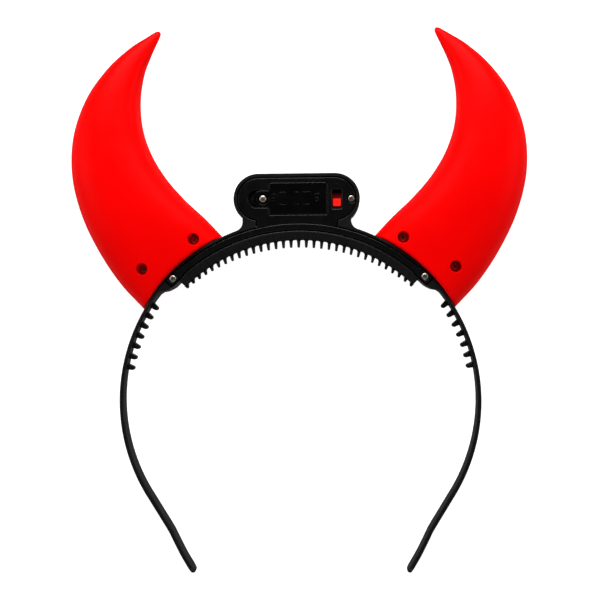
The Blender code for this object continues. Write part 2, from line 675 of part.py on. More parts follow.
def horn_row(along):
    """Horn section at a fraction of its length, by a Catmull-Rom curve through the table's rows."""
    rows = HORN_SECTIONS
    i = max(k for k in range(len(rows) - 1) if rows[k][0] <= along or k == 0)
    before = rows[max(i - 1, 0)]
    start = rows[i]
    end = rows[i + 1]
    after = rows[min(i + 2, len(rows) - 1)]
    span = end[0] - start[0]
    ratio = (along - start[0]) / span
    values = []
    for column in range(1, len(HORN_COLUMNS)):
        slope_in = (end[column] - before[column]) / (end[0] - before[0]) * span
        slope_out = (after[column] - start[column]) / (after[0] - start[0]) * span
        cube = 2 * start[column] - 2 * end[column] + slope_in + slope_out
        square = -3 * start[column] + 3 * end[column] - 2 * slope_in - slope_out
        values.append((((cube * ratio + square) * ratio + slope_in) * ratio + start[column]) * MM)
    return values


def horn_section(along, inset, spans):
    """Points across a horn section as (x, y, height share), and its half thickness."""
    inner_x, inner_y, outer_x, outer_y, thickness = horn_row(along)
    inner = Vector((inner_x, inner_y))
    outer = Vector((outer_x, outer_y))
    chord = (outer - inner).normalized()
    inner += chord * inset
    outer -= chord * inset
    base_radius = HORN_BASE_RADIUS + inset
    base = horn_row(0.0)
    first = math.atan2(base[0], base[1]) + inset / base_radius
    last = math.atan2(base[2], base[3]) - inset / base_radius
    fade = max(0.0, 1 - along / HORN_ARC_FADE) ** 2
    points = []
    for i in range(spans + 1):
        across = -math.cos(math.pi * i / spans)
        share = (across + 1) / 2
        on_chord = inner.lerp(outer, share)
        on_arc = Vector(polar(first + (last - first) * share, base_radius))
        base_chord = Vector(polar(first, base_radius)).lerp(Vector(polar(last, base_radius)), share)
        point = on_chord + (on_arc - base_chord) * fade
        height = max(0.0, 1 - abs(across) ** HORN_ROUNDNESS) ** (1 / HORN_ROUNDNESS)
        points.append((point.x, point.y, height))
    return points, thickness - inset


def horn_solid(name, side, face, inset, floor, end, stations, spans, colour=None):
    """Half of a horn above (face +1) or below (face -1) its parting plane, drawn in by an inset."""
    shape = bmesh.new()
    rows = []
    for i in range(stations + 1):
        along = end * i / stations
        points, thickness = horn_section(along, inset, spans)
        if i == 0:
            base_radius = HORN_BASE_RADIUS + inset
            points = [(*(Vector((x, y)).normalized() * base_radius), height) for x, y, height in points]
        edge = GAP / 2 + HORN_LAND
        top = [shape.verts.new((side * x, y, face * (edge + (thickness - edge) * height)))
               for x, y, height in points]
        bottom = [shape.verts.new((side * x, y, face * floor)) for x, y, _ in points]
        rows.append((top, bottom))
    ground = []
    for (top, bottom), (next_top, next_bottom) in zip(rows, rows[1:]):
        for i in range(spans):
            shape.faces.new((top[i], top[i + 1], next_top[i + 1], next_top[i]))
            ground.append(shape.faces.new((bottom[i], next_bottom[i], next_bottom[i + 1], bottom[i + 1])))
        for i in (0, spans):
            shape.faces.new((top[i], next_top[i], next_bottom[i], bottom[i]))
    for top, bottom in (rows[0], rows[-1]):
        for i in range(spans):
            shape.faces.new((top[i], bottom[i], bottom[i + 1], top[i + 1]))
    bmesh.ops.dissolve_faces(shape, faces=ground)
    return place(name, mesh_from(name, shape), colour)


def make_horn_half(word, side, half, face):
    """Half shell of a horn with its screw wells or pillars and the notch for the frame's tab."""
    name = "horn_%s_%s" % (word, half)
    shell = horn_solid(name, side, face, 0.0, GAP / 2, 1.0, HORN_STATIONS, HORN_SPANS, "red_plastic")
    cavity = horn_solid(name + "_cavity", side, face, HORN_WALL, -CLEAR, HORN_CAVITY_END, CAVITY_STATIONS,
                        CAVITY_SPANS)
    foot = TAB_HALF_THICKNESS + GAP
    places = [(side * x, y) for x, y in HORN_SCREWS.values()]

    def upright(suffix, radius, low, high):
        ends = sorted((face * low, face * high))
        return cylinders(name + suffix, [(x, y, radius, *ends) for x, y in places])

    combine(cavity, "DIFFERENCE", upright("_pillars", WELL_RADIUS + WELL_WALL, foot, HORN_THROUGH))
    notch = slab(name + "_notch", tab_outline(side, GAP), *sorted((-face * CLEAR, face * foot)))
    combine(shell, "DIFFERENCE", cavity, notch)
    through = SCREW_SHANK_RADIUS + GAP
    if half == "back":
        combine(shell, "DIFFERENCE", upright("_wells", WELL_RADIUS, foot + WELL_FLOOR, HORN_THROUGH),
                upright("_holes", through, foot - GAP, foot + 2 * WELL_FLOOR))
    else:
        seat = foot + WELL_FLOOR + GAP
        combine(shell, "DIFFERENCE", upright("_pilots", through, foot - GAP, HORN_SCREW_LENGTH - seat + CLEAR))
    return shell


def make_screw(name, x, y, seat, head_radius, length):
    """Turned screw whose head stands on the height seat, with its shank below."""
    profile = [(across * head_radius, up * SCREW_HEAD_HEIGHT) for across, up in SCREW_CROWN]
    profile += [(SCREW_SHANK_RADIUS, 0.0), (SCREW_SHANK_RADIUS, SCREW_SHANK_RADIUS - length), (0.0, -length)]
    mesh = bpy.data.meshes.new(name)
    mesh.from_pydata([(r, 0.0, z) for r, z in profile], [(i, i + 1) for i in range(len(profile) - 1)], [])
    screw = place(name, mesh, "steel")
    screw.location = (x, y, seat)
    turn = screw.modifiers.new("turn", "SCREW")
    turn.steps = SCREW_SIDES
    turn.render_steps = SCREW_SIDES
    turn.use_merge_vertices = True
    turn.merge_threshold = 1e-6
    turn.use_smooth_shade = True
    return screw


def make_screws():
    """Screws of the door, the housing, the cover's ends and the horns."""
    lift = GAP - SCREW_RECESS_DEPTH
    make_screw("door_screw", *DOOR_SCREW, BACK_FACE - DOOR_SINK - DOOR_RECESS_DEPTH + GAP, SCREW_HEAD_RADIUS,
               DOOR_SCREW_LENGTH)
    make_screw("housing_screw", *HOUSING_SCREW, BACK_FACE + lift, SCREW_HEAD_RADIUS, SCREW_LENGTH)
    seat = TAB_HALF_THICKNESS + GAP + WELL_FLOOR + GAP
    for word, side in (("left", -1), ("right", 1)):
        x, y = cover_screw_place(side)
        make_screw("cover_screw_" + word, x, y, BACK_FACE + STRIP_RISE + lift, SCREW_HEAD_RADIUS, SCREW_LENGTH)
        for place_word, (x, y) in HORN_SCREWS.items():
            make_screw("horn_%s_screw_%s" % (word, place_word), side * x, y, seat, HORN_SCREW_HEAD_RADIUS,
                       HORN_SCREW_LENGTH)


def world_points(obj, graph):
    """Evaluated vertices of a part in world space."""
    evaluated = obj.evaluated_get(graph)
    return [evaluated.matrix_world @ vertex.co for vertex in evaluated.data.vertices]


def settle(parts):
    """Lean the pose until horn bellies and arm tips reach one level, then centre the object on that floor."""
    bellies = [obj for obj in parts if obj.name.startswith("horn") and obj.name.endswith("front")]
    frame = bpy.data.objects["headband_frame"]
    for _ in range(6):
        bpy.context.view_layer.update()
        graph = bpy.context.evaluated_depsgraph_get()
        belly = min((point for obj in bellies for point in world_points(obj, graph)), key=lambda point: point.z)
        low_half = [point for point in world_points(frame, graph) if point.y < belly.y - BAND_RADIUS]
        tip = min(low_half, key=lambda point: point.z)
        POSE.rotation_euler.x += math.atan((tip.z - belly.z) / (belly.y - tip.y))
    bpy.context.view_layer.update()
    graph = bpy.context.evaluated_depsgraph_get()
    points = [point for obj in parts for point in world_points(obj, graph)]
    low = Vector([min(point[axis] for point in points) for axis in range(3)])
    high = Vector([max(point[axis] for point in points) for axis in range(3)])
    POSE.location -= Vector(((low.x + high.x) / 2, (low.y + high.y) / 2, low.z))
    bpy.context.view_layer.update()


def shade(parts):
    """Smooth the round faces, keep real edges sharp and leave the level faces flat."""
    for obj in parts:
        obj.data.shade_smooth()
        obj.data.set_sharp_from_angle(angle=math.radians(SHARP_ANGLE))
        for face in obj.data.polygons:
            face.use_smooth = abs(face.normal.z) < LEVEL


def main():
    """Build every part, then set the object down."""
    make_frame()
    make_cover()
    make_door()
    make_slider()
    for word, side in (("left", -1), ("right", 1)):
        for half, face in (("back", 1), ("front", -1)):
            make_horn_half(word, side, half, face)
    make_screws()
    parts = [obj for obj in PARTS.objects if obj.type == "MESH"]
    shade(parts)
    settle(parts)


main()
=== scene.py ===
"""Looks of the devil horns headband, lying with its battery side up.

Every shape is worked out in millimetres in the headband's own frame: the centre of the band's outer circle
is the origin, +Y runs from the arm tips towards the horn tips and +Z is the back of the headband. TO_WORLD
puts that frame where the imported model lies.
"""
import json
import math

import bmesh
import bpy
from mathutils import Matrix, Vector
from mathutils.bvhtree import BVHTree


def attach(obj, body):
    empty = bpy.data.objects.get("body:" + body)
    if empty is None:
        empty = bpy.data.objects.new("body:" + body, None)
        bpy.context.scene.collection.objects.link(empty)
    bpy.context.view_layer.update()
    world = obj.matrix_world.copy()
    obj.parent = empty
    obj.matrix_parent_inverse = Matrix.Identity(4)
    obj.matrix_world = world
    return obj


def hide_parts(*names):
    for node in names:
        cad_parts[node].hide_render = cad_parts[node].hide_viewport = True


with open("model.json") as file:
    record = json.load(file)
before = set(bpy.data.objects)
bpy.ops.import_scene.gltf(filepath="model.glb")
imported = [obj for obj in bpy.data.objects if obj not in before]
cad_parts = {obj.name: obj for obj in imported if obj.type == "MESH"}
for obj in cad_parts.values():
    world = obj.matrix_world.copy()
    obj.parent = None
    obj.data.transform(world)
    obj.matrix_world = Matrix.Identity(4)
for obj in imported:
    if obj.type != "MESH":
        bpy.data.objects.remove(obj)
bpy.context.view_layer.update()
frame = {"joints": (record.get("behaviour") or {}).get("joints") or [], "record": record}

# The headband's frame in the world: it leans as the slide does and is placed by the housing's front face
HOUSING_X = -0.5
HOUSING_Y = 83.6
HOUSING_FRONT = -8.0
SLIDE = next(joint for joint in frame["joints"] if joint["name"] == "switch_slide")
FRONT_FACE = next(mount for mount in frame["record"]["mounts"] if mount["name"] == "housing_front_face")
METRES = 0.001
LEAN = Matrix.Rotation(math.atan2(SLIDE["axis"][2], SLIDE["axis"][1]), 4, "X") @ Matrix.Scale(METRES, 4)
SHIFT = Vector(FRONT_FACE["pos_m"]) - LEAN @ Vector((HOUSING_X, HOUSING_Y, HOUSING_FRONT))
TO_WORLD = Matrix.Translation(SHIFT) @ LEAN

# Clearances; OVERLAP lets a cut run on into the next, and HAIR keeps two faces out of one plane
GAP = 0.3
CLEAR = 1.0
OVERLAP = 0.1
HAIR = 0.001
EDGE = 0.22
EDGE_STEPS = 3
SHARP_ANGLE = math.radians(38.0)

# Band
BAND_RADIUS = 75.0
ARCH_CENTRE_Y = -1.9
ARCH_INNER_RADIUS = 71.6
ARCH_HALF_DEPTH = 7.0
ARM_HALF_DEPTH = 4.25
ARM_THICKNESS = 1.5
ARM_LOW_THICKNESS = 1.9
ARCH_END = 47.0
BLOCK_END = 49.8
ARM_START = 52.6
BLOCK_THICKNESS = 3.9
ARM_NARROW = 62.0
ARC_END = 123.0
ARM_LEG = [(55.3, -53.3), (53.5, -56.8), (49.8, -64.2), (45.8, -71.0)]
ARM_TIP_RADIUS = 1.05
ARM_TIP_CORNER = 3.0
ARM_TIP_TURNS = (0, 12, 24, 36, 46, 55, 63, 70, 76, 81, 85)
ARM_LEG_STEPS = 6
BAND_EDGE = 0.42
BAND_STEP = 1.25

# Comb: TOOTH_TIP_ROWS holds distances from the tip with the shares of its width and depth there
COMB_VALLEY_RADIUS = 68.7
COMB_VALLEY_HALF_DEPTH = 1.6
COMB_VALLEY_EDGE = 0.3
COMB_INSET = 1.1
COMB_END = 43.6
COMB_STEPS = 88
TEETH_EACH_SIDE = 16
TOOTH_STEP = 2.456
TOOTH_CENTRE_Y = -9.6
TOOTH_TIP_RADIUS = 73.25
TOOTH_LEAN = 0.62
TOOTH_RIDGE = 0.5
TOOTH_ROOT_WIDTH = 1.35
TOOTH_TIP_WIDTH = 1.02
TOOTH_FILLET = 0.55
TOOTH_FILLET_TURNS = (0, 25, 45, 62, 76, 90)
TOOTH_TIP_HALF_DEPTH = 1.0
TOOTH_TIP_ROWS = [(0.0, 0.45, 0.5), (0.08, 0.8, 0.8), (0.22, 1.0, 1.0)]

# Stubs on the inner faces of the arms
STUBS = 7
STUB_FIRST = 11.3
STUB_STEP = 3.62
STUB_TIP_RADIUS = 70.4
STUB_HALF_DEPTH = 1.8
STUB_SHOULDER = 1.7
STUB_HEEL = 1.05
STUB_END_RADIUS = 0.92
STUB_END_STEPS = 8

# Housing
HOUSING_RADIUS = 10.4
HOUSING_END_X = 15.65
HOUSING_FLOOR = 1.6
HOUSING_RIM = 1.3
HOUSING_FRONT_EDGE = 1.2
TRAY_LEDGE = 1.0
NECK_HALF_WIDTH = 18.3
NECK_LOW_Y = 70.6
NECK_SET_BACK = 0.2
WEB_HALF_WIDTH = 22.4
WEB_FLARE = 3.8
WEB_SINK = 1.8
WEB_SET_BACK = 0.4
WEB_FRONT_EDGE = 0.5
WEB_STEPS = 12
BACK_FACE = 7.0
END_STEPS = 40

# Cover let into the back
COVER_THICKNESS = 2.6
COVER_NECK_HALF_WIDTH = 16.7
COVER_NECK_LOW_Y = 72.2
STRIP_INNER_RADIUS = 72.5
STRIP_OUTER_RADIUS = 75.1
STRIP_RISE = 0.3
STRIP_END = 42.0
SEAM = 0.6
ARCH_STEPS = 84
PAD_START = 41.4
PAD_END = 46.4
PAD_OUTER_RADIUS = 75.6
PAD_CORNER = 0.7
CHANNEL_INNER_RADIUS = 73.1
CHANNEL_OUTER_RADIUS = 74.5
CHANNEL_DEPTH = 9.0
CHANNEL_END = 40.5

# Battery door
DOOR_LEFT = -11.7
DOOR_RIGHT = 11.95
DOOR_LOW = 77.15
DOOR_HIGH = 90.2
DOOR_THICKNESS = 1.4
DOOR_SINK = 0.2
DOOR_LEDGE = 0.6
DOOR_CORNER = 0.6
HATCH_CORNER = 0.5
TAB_X = -15.3
TAB_Y = 83.6
TAB_RADIUS = 3.4
NOTCH_X = -16.9
NOTCH_RADIUS = 3.7
NOTCH_DEPTH = 1.8
NOTCH_SIDES = 64

# Low relief: how far raised marks stand out, the width of their lines, and where they are
RELIEF = 0.064
RELIEF_ROOT = 0.05
LINE = 0.4
CELLS = [(-7.8, -4.5), (-1.6, 1.0), (1.9, 5.2)]
CELL_LOW = 80.9
CELL_HIGH = 86.3
CELL_CORNER = 0.4
MARK_Y = 83.9
MINUS_X = -9.9
PLUS_X = 7.9
MARK_RADIUS = 1.7
MARK_SIDES = 32
BAR_HALF_LENGTH = 0.8
BAR_HALF_WIDTH = 0.13
BAR_CORNER = 0.05
BAR_EDGE = 0.04
WORDS = [("ON", 88.9), ("OFF", 78.3)]
WORD_SIZE = 1.5
WORD_HALF_HEIGHT = 0.06
WORD_BEVEL = 0.015
WORD_LIFT = 0.04

# Slide switch
SWITCH_X = 16.1
SLOT_HALF_WIDTH = 2.0
SLOT_LOW = 79.2
SLOT_HIGH = 87.2
SLOT_CORNER = 0.25
SLOT_EDGE = 0.3
KNOB_HALF_WIDTH = 1.6
KNOB_LOW = 80.2
KNOB_HIGH = 83.3
KNOB_TOP = 7.5
KNOB_CORNER = 0.2
KNOB_EDGE = 0.18
SLIDER_HALF_WIDTH = 2.7
SLIDER_LOW = 79.0
SLIDER_HIGH = 85.9
SLIDER_THICKNESS = 0.9
SLIDER_EDGE = 0.1

# Screws
DOOR_SCREW = (-14.4, 83.6)
HOUSING_SCREW = (22.0, 83.4)
COVER_SCREW_ANGLE = 44.4
COVER_SCREW_RADIUS = 74.2
SCREW_HEAD_RADIUS = 1.48
SCREW_HEAD_HEIGHT = 0.95
SCREW_HEAD_EDGE = 0.05
SCREW_RIM = 0.3
SCREW_ROUNDNESS = 2.6
HOUSING_SCREW_SHARE = 0.88
HOUSING_SCREW_ROUNDNESS = 4.5
SCREW_SHANK_RADIUS = 0.7
SCREW_END_RADIUS = 0.02
SCREW_LENGTH = 5.0
SCREW_RECESS_RADIUS = 1.9
SCREW_RECESS_DEPTH = 1.1
PAD_RECESS_RADIUS = 1.68
DOOR_RECESS_RADIUS = 2.4
DOOR_RECESS_DEPTH = 0.8
DOOR_SCREW_LENGTH = 4.2
RECESS_EDGE = 0.15
PAD_RECESS_EDGE = 0.1
BOSS_RADIUS = 2.4
BOSS_SIDES = 32
DOOR_BOSS_LENGTH = 3.6
DOOR_BOSS_CUT = 2.0
HOLE_TOP_DEPTH = 0.5
HOLE_SIDES = 24
RECESS_SIDES = 40
SEAT_SIDES = 48
THREAD_START = -0.4
THREAD_PITCH = 0.6
THREAD_DEPTH = 0.16
CROSS_HALF_LENGTH = 0.62
CROSS_HALF_WIDTH = 0.16
CROSS_DEPTH = 0.55
CROSS_RIM_DEPTH = 0.12
SCREW_SIDES = 36

# Horns: a row for each section, from the base on the band to the tip
HORN_COLUMNS = ("along", "inner_x", "inner_y", "outer_x", "outer_y", "half_thickness")
HORN_SECTIONS = [
    (0.00, 31.7, 68.3, 64.8, 38.4, 9.3),
    (0.10, 38.9, 75.9, 74.6, 49.1, 10.6),
    (0.22, 47.5, 84.0, 83.8, 63.1, 11.4),
    (0.34, 55.3, 93.0, 90.8, 78.2, 11.5),
    (0.46, 61.4, 103.1, 94.6, 94.5, 10.8),
    (0.58, 65.1, 114.2, 93.9, 111.1, 9.5),
    (0.70, 65.9, 126.0, 88.3, 126.8, 7.6),
    (0.81, 64.2, 136.7, 79.4, 139.2, 5.4),
    (0.90, 61.0, 145.0, 70.1, 147.6, 3.4),
    (0.96, 58.4, 150.4, 63.0, 152.1, 2.0),
    (0.99, 57.1, 153.4, 59.4, 154.3, 1.2),
    (1.00, 57.0, 154.4, 58.4, 154.9, 0.7),
]
HORN_BASE_RADIUS = BAND_RADIUS + GAP
HORN_ARC_FADE = 0.35
HORN_WALL = 1.8
HORN_CAVITY_END = 0.86
HORN_LAND = 0.35
HORN_ROUNDNESS = 2.3
HORN_STATIONS = 110
HORN_SPANS = 64
CAVITY_STATIONS = 16
CAVITY_SPANS = 12
HORN_BASE_EDGE = 0.012
HORN_BASE_DROP = 0.13
HORN_BASE_STOPS = (0.04, 0.14, 0.3, 0.52)
HORN_TIP_EDGE = 0.012
HORN_TIP_STOPS = (0.03, 0.1, 0.2, 0.35, 0.6)
HORN_TIP_BLUNT = 0.12
HORN_LEAST_RISE = 0.02
HORN_SCREWS = {"inner": (43.2, 67.2), "outer": (64.4, 55.0)}
WELL_RADIUS = 2.35
WELL_EDGE = 0.28
WELL_WALL = 1.2
WELL_FLOOR = 1.2
WELL_SIDES = 48
PILLAR_SIDES = 32
HORN_SCREW_HEAD_RADIUS = 1.8
HORN_SCREW_LENGTH = 9.5
HORN_THROUGH = 20.0

# Tab of the frame inside each horn: (angle from +Y in degrees, distance from the band's centre)
TAB_OUTLINE = [(30.0, 73.5), (30.0, 83.5), (46.0, 88.0), (53.5, 88.0), (53.5, 73.5)]
TAB_HALF_THICKNESS = 1.5
TAB_CORNER = 2.5

# Camera, in the headband's frame: what it looks at, how far off it is and how it is turned
AIM = (0.5, 41.8, 4.25)
CAMERA_DISTANCE = 500.0
CAMERA_YAW = 2.0
CAMERA_ROLL = -0.46
FRAME_WIDTH = 248.2
SENSOR = 36.0

# Studio, in metres: the floor, each light's name, place, aim, size and watts, and the surroundings'
# brightness from straight down (0) by the horizon (0.5) to straight up (1)
FLOOR_SIZE = 40.0
FLOOR_DROP = 0.0001
LIGHTS = [
    ("softbox_high", (-0.02, 0.62, 0.55), (0, 0.04, 0), (0.7, 0.35), 7.8),
    ("softbox_left", (-1.2, 0.2, 0.8), (0, 0, 0), (0.7, 0.7), 3.6),
    ("softbox_right", (1.2, 0.2, 0.8), (0, 0, 0), (0.7, 0.7), 3.2),
    ("softbox_low", (0.0, -1.2, 0.85), (0, 0, 0), (1.0, 0.6), 1.3),
]
TENT_WALLS = [(0.0, 0.10), (0.49, 0.10), (0.53, 0.34), (0.83, 0.34), (0.91, 0.02), (1.0, 0.02)]


def cosine(degrees):
    return math.cos(math.radians(degrees))


def sine(degrees):
    return math.sin(math.radians(degrees))


def polar(degrees, radius, centre_y=0.0):
    """Point at an angle from +Y towards +X."""
    return (radius * sine(degrees), centre_y + radius * cosine(degrees))


def arc(start, end, radius, steps, centre_y=0.0):
    """Points of an arc about a centre on the Y axis."""
    return [polar(start + (end - start) * i / steps, radius, centre_y) for i in range(steps + 1)]


def arch_band(end, inner, outer):
    """Outline of a band along the arch, as far as the angle end on both sides."""
    return (arc(-end, end, outer, ARCH_STEPS, ARCH_CENTRE_Y)
            + arc(end, -end, inner, ARCH_STEPS, ARCH_CENTRE_Y))


def circle(x, y, radius, sides):
    """Points of a circle."""
    turns = [360 * i / sides for i in range(sides)]
    return [(x + radius * cosine(turn), y + radius * sine(turn)) for turn in turns]


def rounded(corners, steps=6):
    """Closed outline through (x, y, radius) corners, each turned into an arc of its radius."""
    points = []
    for i, (x, y, radius) in enumerate(corners):
        here = Vector((x, y))
        before = (Vector(corners[i - 1][:2]) - here).normalized()
        after = (Vector(corners[(i + 1) % len(corners)][:2]) - here).normalized()
        if radius == 0.0:
            points.append((x, y))
            continue
        half = before.angle(after) / 2
        centre = here + (before + after).normalized() * radius / math.sin(half)
        start = here + before * radius / math.tan(half) - centre
        turn = start.angle_signed(here + after * radius / math.tan(half) - centre)
        for step in range(steps + 1):
            angle = -turn * step / steps
            spoke = Vector((start.x * math.cos(angle) - start.y * math.sin(angle),
                            start.x * math.sin(angle) + start.y * math.cos(angle)))
            points.append(tuple(centre + spoke))
    return points


def rectangle(low_x, high_x, low_y, high_y, corner):
    """Outline of a rectangle with small round corners."""
    return rounded([(high_x, low_y, corner), (high_x, high_y, corner),
                    (low_x, high_y, corner), (low_x, low_y, corner)], 4)


def switch_rectangle(half_width, low_y, high_y, corner):
    """Rectangle about the switch's middle line."""
    return rectangle(SWITCH_X - half_width, SWITCH_X + half_width, low_y, high_y, corner)


def area(outline):
    """Signed area of an outline, positive if it runs anticlockwise."""
    return sum(a[0] * b[1] - b[0] * a[1] for a, b in zip(outline, outline[1:] + outline[:1])) / 2


def grown(outline, by):
    """Outline moved outwards by a distance."""
    if by == 0.0:
        return list(outline)
    sign = 1 if area(outline) > 0 else -1
    points = []
    for i, here in enumerate(outline):
        before = (Vector(here) - Vector(outline[i - 1])).normalized()
        after = (Vector(outline[(i + 1) % len(outline)]) - Vector(here)).normalized()
        normals = [Vector((edge.y, -edge.x)) * sign for edge in (before, after)]
        middle = (normals[0] + normals[1]).normalized()
        points.append(tuple(Vector(here) + middle * by / max(middle.dot(normals[0]), 0.35)))
    return points


def shape_of(rings, loop=False):
    """Skin through rings of equal length, closed at both ends or from the last ring to the first."""
    count = len(rings[0])
    verts = [tuple(point) for ring in rings for point in ring]
    faces = []
    for k in range(len(rings) if loop else len(rings) - 1):
        here = k * count
        ahead = (k + 1) % len(rings) * count
        for i in range(count):
            j = (i + 1) % count
            faces.append((here + i, here + j, ahead + j, ahead + i))
    if not loop:
        faces.append(tuple(reversed(range(count))))
        faces.append(tuple(range((len(rings) - 1) * count, len(rings) * count)))
    return verts, faces


def new_object(name, data):
    """Object for some data, in the scene."""
    obj = bpy.data.objects.new(name, data)
    bpy.context.scene.collection.objects.link(obj)
    return obj


def discard(obj):
    """Takes away an object and its mesh."""
    mesh = obj.data
    bpy.data.objects.remove(obj)
    bpy.data.meshes.remove(mesh)


def object_of(*shapes):
    """Object for one or more closed skins, with its faces pointing out."""
    verts, faces = [], []
    for more_verts, more_faces in shapes:
        faces += [tuple(index + len(verts) for index in face) for face in more_faces]
        verts += more_verts
    mesh = bpy.data.meshes.new("piece")
    mesh.from_pydata(verts, [], faces)
    work = bmesh.new()
    work.from_mesh(mesh)
    bmesh.ops.recalc_face_normals(work, faces=work.faces)
    work.to_mesh(mesh)
    work.free()
    return new_object("piece", mesh)


def level(outline, height):
    """Outline as points at a height."""
    return [(x, y, height) for x, y in outline]


def slab(outline, low, high, low_edge=0.0, high_edge=0.0):
    """Skin of a plate with rounded lower and upper edges."""
    turns = [90 * i / EDGE_STEPS for i in range(EDGE_STEPS + 1)]
    rings = []
    if low_edge:
        rings += [level(grown(outline, -low_edge * (1 - sine(turn))),
                        low + low_edge * (1 - cosine(turn))) for turn in turns[:-1]]
    rings += [level(outline, low + low_edge), level(outline, high - high_edge)]
    if high_edge:
        rings += [level(grown(outline, -high_edge * (1 - cosine(turn))),
                        high - high_edge * (1 - sine(turn))) for turn in turns[1:]]
    return shape_of(rings)


def cutter(outline, low, face, edge=EDGE):
    """Skin of a cutter that leaves a rounded edge where it comes out of a face."""
    rings = [level(outline, low), level(outline, face - edge)]
    for i in range(1, EDGE_STEPS + 1):
        turn = 90 * i / EDGE_STEPS
        rings.append(level(grown(outline, edge * (1 - cosine(turn))), face - edge + edge * sine(turn)))
    rings.append(level(grown(outline, edge), face + CLEAR))
    return shape_of(rings)


def shank_hole(place, low, high):
    """Skin of a hole that a screw's shank goes through."""
    return slab(circle(*place, SCREW_SHANK_RADIUS + GAP, HOLE_SIDES), low, high)


def combine(obj, operation, *tools):
    """Boolean of obj with tools, worked out at once. A tool is an object, a skin or a list of skins."""
    others = []
    for tool in tools:
        if isinstance(tool, tuple):
            tool = [tool]
        others.append(object_of(*tool) if isinstance(tool, list) else tool)
    for other in others:
        modifier = obj.modifiers.new("combine", "BOOLEAN")
        modifier.operation = operation
        modifier.solver = "EXACT"
        modifier.object = other
    graph = bpy.context.evaluated_depsgraph_get()
    graph.update()
    mesh = bpy.data.meshes.new_from_object(obj.evaluated_get(graph))
    obj.modifiers.clear()
    old = obj.data
    obj.data = mesh
    bpy.data.meshes.remove(old)
    for other in others:
        discard(other)


def join(obj, *shapes):
    """Adds closed skins to obj as they are."""
    extra = object_of(*shapes)
    work = bmesh.new()
    work.from_mesh(obj.data)
    work.from_mesh(extra.data)
    work.to_mesh(obj.data)
    work.free()
    discard(extra)


def finish(obj, name, body, look, *nodes):
    """Puts a piece in the world, shades it, and says what it rides on and stands for."""
    slot, material = FINISHES[look]
    obj.name = name
    obj.data.name = name
    obj.data.transform(TO_WORLD)
    obj.data.shade_smooth()
    obj.data.set_sharp_from_angle(angle=SHARP_ANGLE)
    weights = obj.modifiers.new("weights", "WEIGHTED_NORMAL")
    weights.keep_sharp = True
    weights.weight = 80
    obj.data.materials.clear()
    obj.data.materials.append(material)
    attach(obj, body)
    if nodes:
        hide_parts(*nodes)


def set_ramp(node, stops):
    """Gives a colour ramp its places and colours."""
    elements = node.color_ramp.elements
    while len(elements) < len(stops):
        elements.new(0.5)
    for element, (place, colour) in zip(elements, stops):
        element.position = place
        element.color = (*colour, 1.0)


class Shader:
    """Short way to build a node material around one Principled BSDF."""

    def __init__(self, name):
        self.material = bpy.data.materials.new(name)
        self.material.use_nodes = True
        self.tree = self.material.node_tree
        self.principled = self.tree.nodes["Principled BSDF"]
        self.place = self.add("ShaderNodeTexCoord").outputs["Object"]

    def add(self, kind):
        return self.tree.nodes.new(kind)

    def link(self, source, target):
        self.tree.links.new(source, target)

    def reach(self, name, source):
        """Link to the shader's input of that name."""
        self.link(source, self.principled.inputs[name])

    def fixed(self, **values):
        """Constants of the shader."""
        for key, value in values.items():
            self.principled.inputs[key.replace("_", " ")].default_value = value

    def noise(self, grain, detail=2.0):
        """Noise whose lumps are about grain metres across."""
        noise = self.add("ShaderNodeTexNoise")
        noise.inputs["Scale"].default_value = 1.0 / grain
        noise.inputs["Detail"].default_value = detail
        self.link(self.place, noise.inputs["Vector"])
        return noise.outputs["Fac"]

    def ranged(self, source, low, high, start=0.3, stop=0.7):
        """Value that goes from low to high as the source goes from start to stop."""
        node = self.add("ShaderNodeMapRange")
        for key, value in (("From Min", start), ("From Max", stop), ("To Min", low), ("To Max", high)):
            node.inputs[key].default_value = value
        self.link(source, node.inputs["Value"])
        return node.outputs["Result"]

    def ramp(self, source, *stops):
        """Colours at places along the source's range."""
        node = self.add("ShaderNodeValToRGB")
        set_ramp(node, stops)
        self.link(source, node.inputs["Fac"])
        return node.outputs["Color"]

    def bump(self, source, distance, strength=1.0, under=None):
        """Bump of a height in metres, over an earlier one if given."""
        node = self.add("ShaderNodeBump")
        node.inputs["Distance"].default_value = distance
        node.inputs["Strength"].default_value = strength
        self.link(source, node.inputs["Height"])
        if under:
            self.link(under, node.inputs["Normal"])
        return node.outputs["Normal"]


def black_plastic(name, depth, roughness, grain_height):
    """Black moulded plastic with a fine grain and faint flow marks."""
    shader = Shader(name)
    cloud = shader.noise(0.012, 3.0)
    dark, light = ((grey, grey, 1.05 * grey) for grey in depth)
    shader.reach("Base Color", shader.ramp(cloud, (0.3, dark), (0.7, light)))
    shader.reach("Roughness", shader.ranged(shader.noise(0.004, 4.0), *roughness))
    grain = shader.bump(shader.noise(0.00022, 2.0), grain_height)
    shader.reach("Normal", shader.bump(cloud, 0.00001, 0.5, grain))
    shader.fixed(IOR=1.5, Specular_IOR_Level=0.35)
    return shader.material


def red_plastic(name, dark, light, roughness, shine):
    """Red moulded plastic, a little uneven in depth of colour."""
    shader = Shader(name)
    cloud = shader.noise(0.025, 2.0)
    shader.reach("Base Color", shader.ramp(cloud, (0.25, dark), (0.75, light)))
    shader.reach("Roughness", shader.ranged(shader.noise(0.006, 3.0), *roughness))
    grain = shader.bump(shader.noise(0.0003, 2.0), 0.000006)
    shader.reach("Normal", shader.bump(shader.noise(0.015, 1.0), 0.00005, 0.6, grain))
    shader.fixed(IOR=1.46, Specular_IOR_Level=shine)
    return shader.material


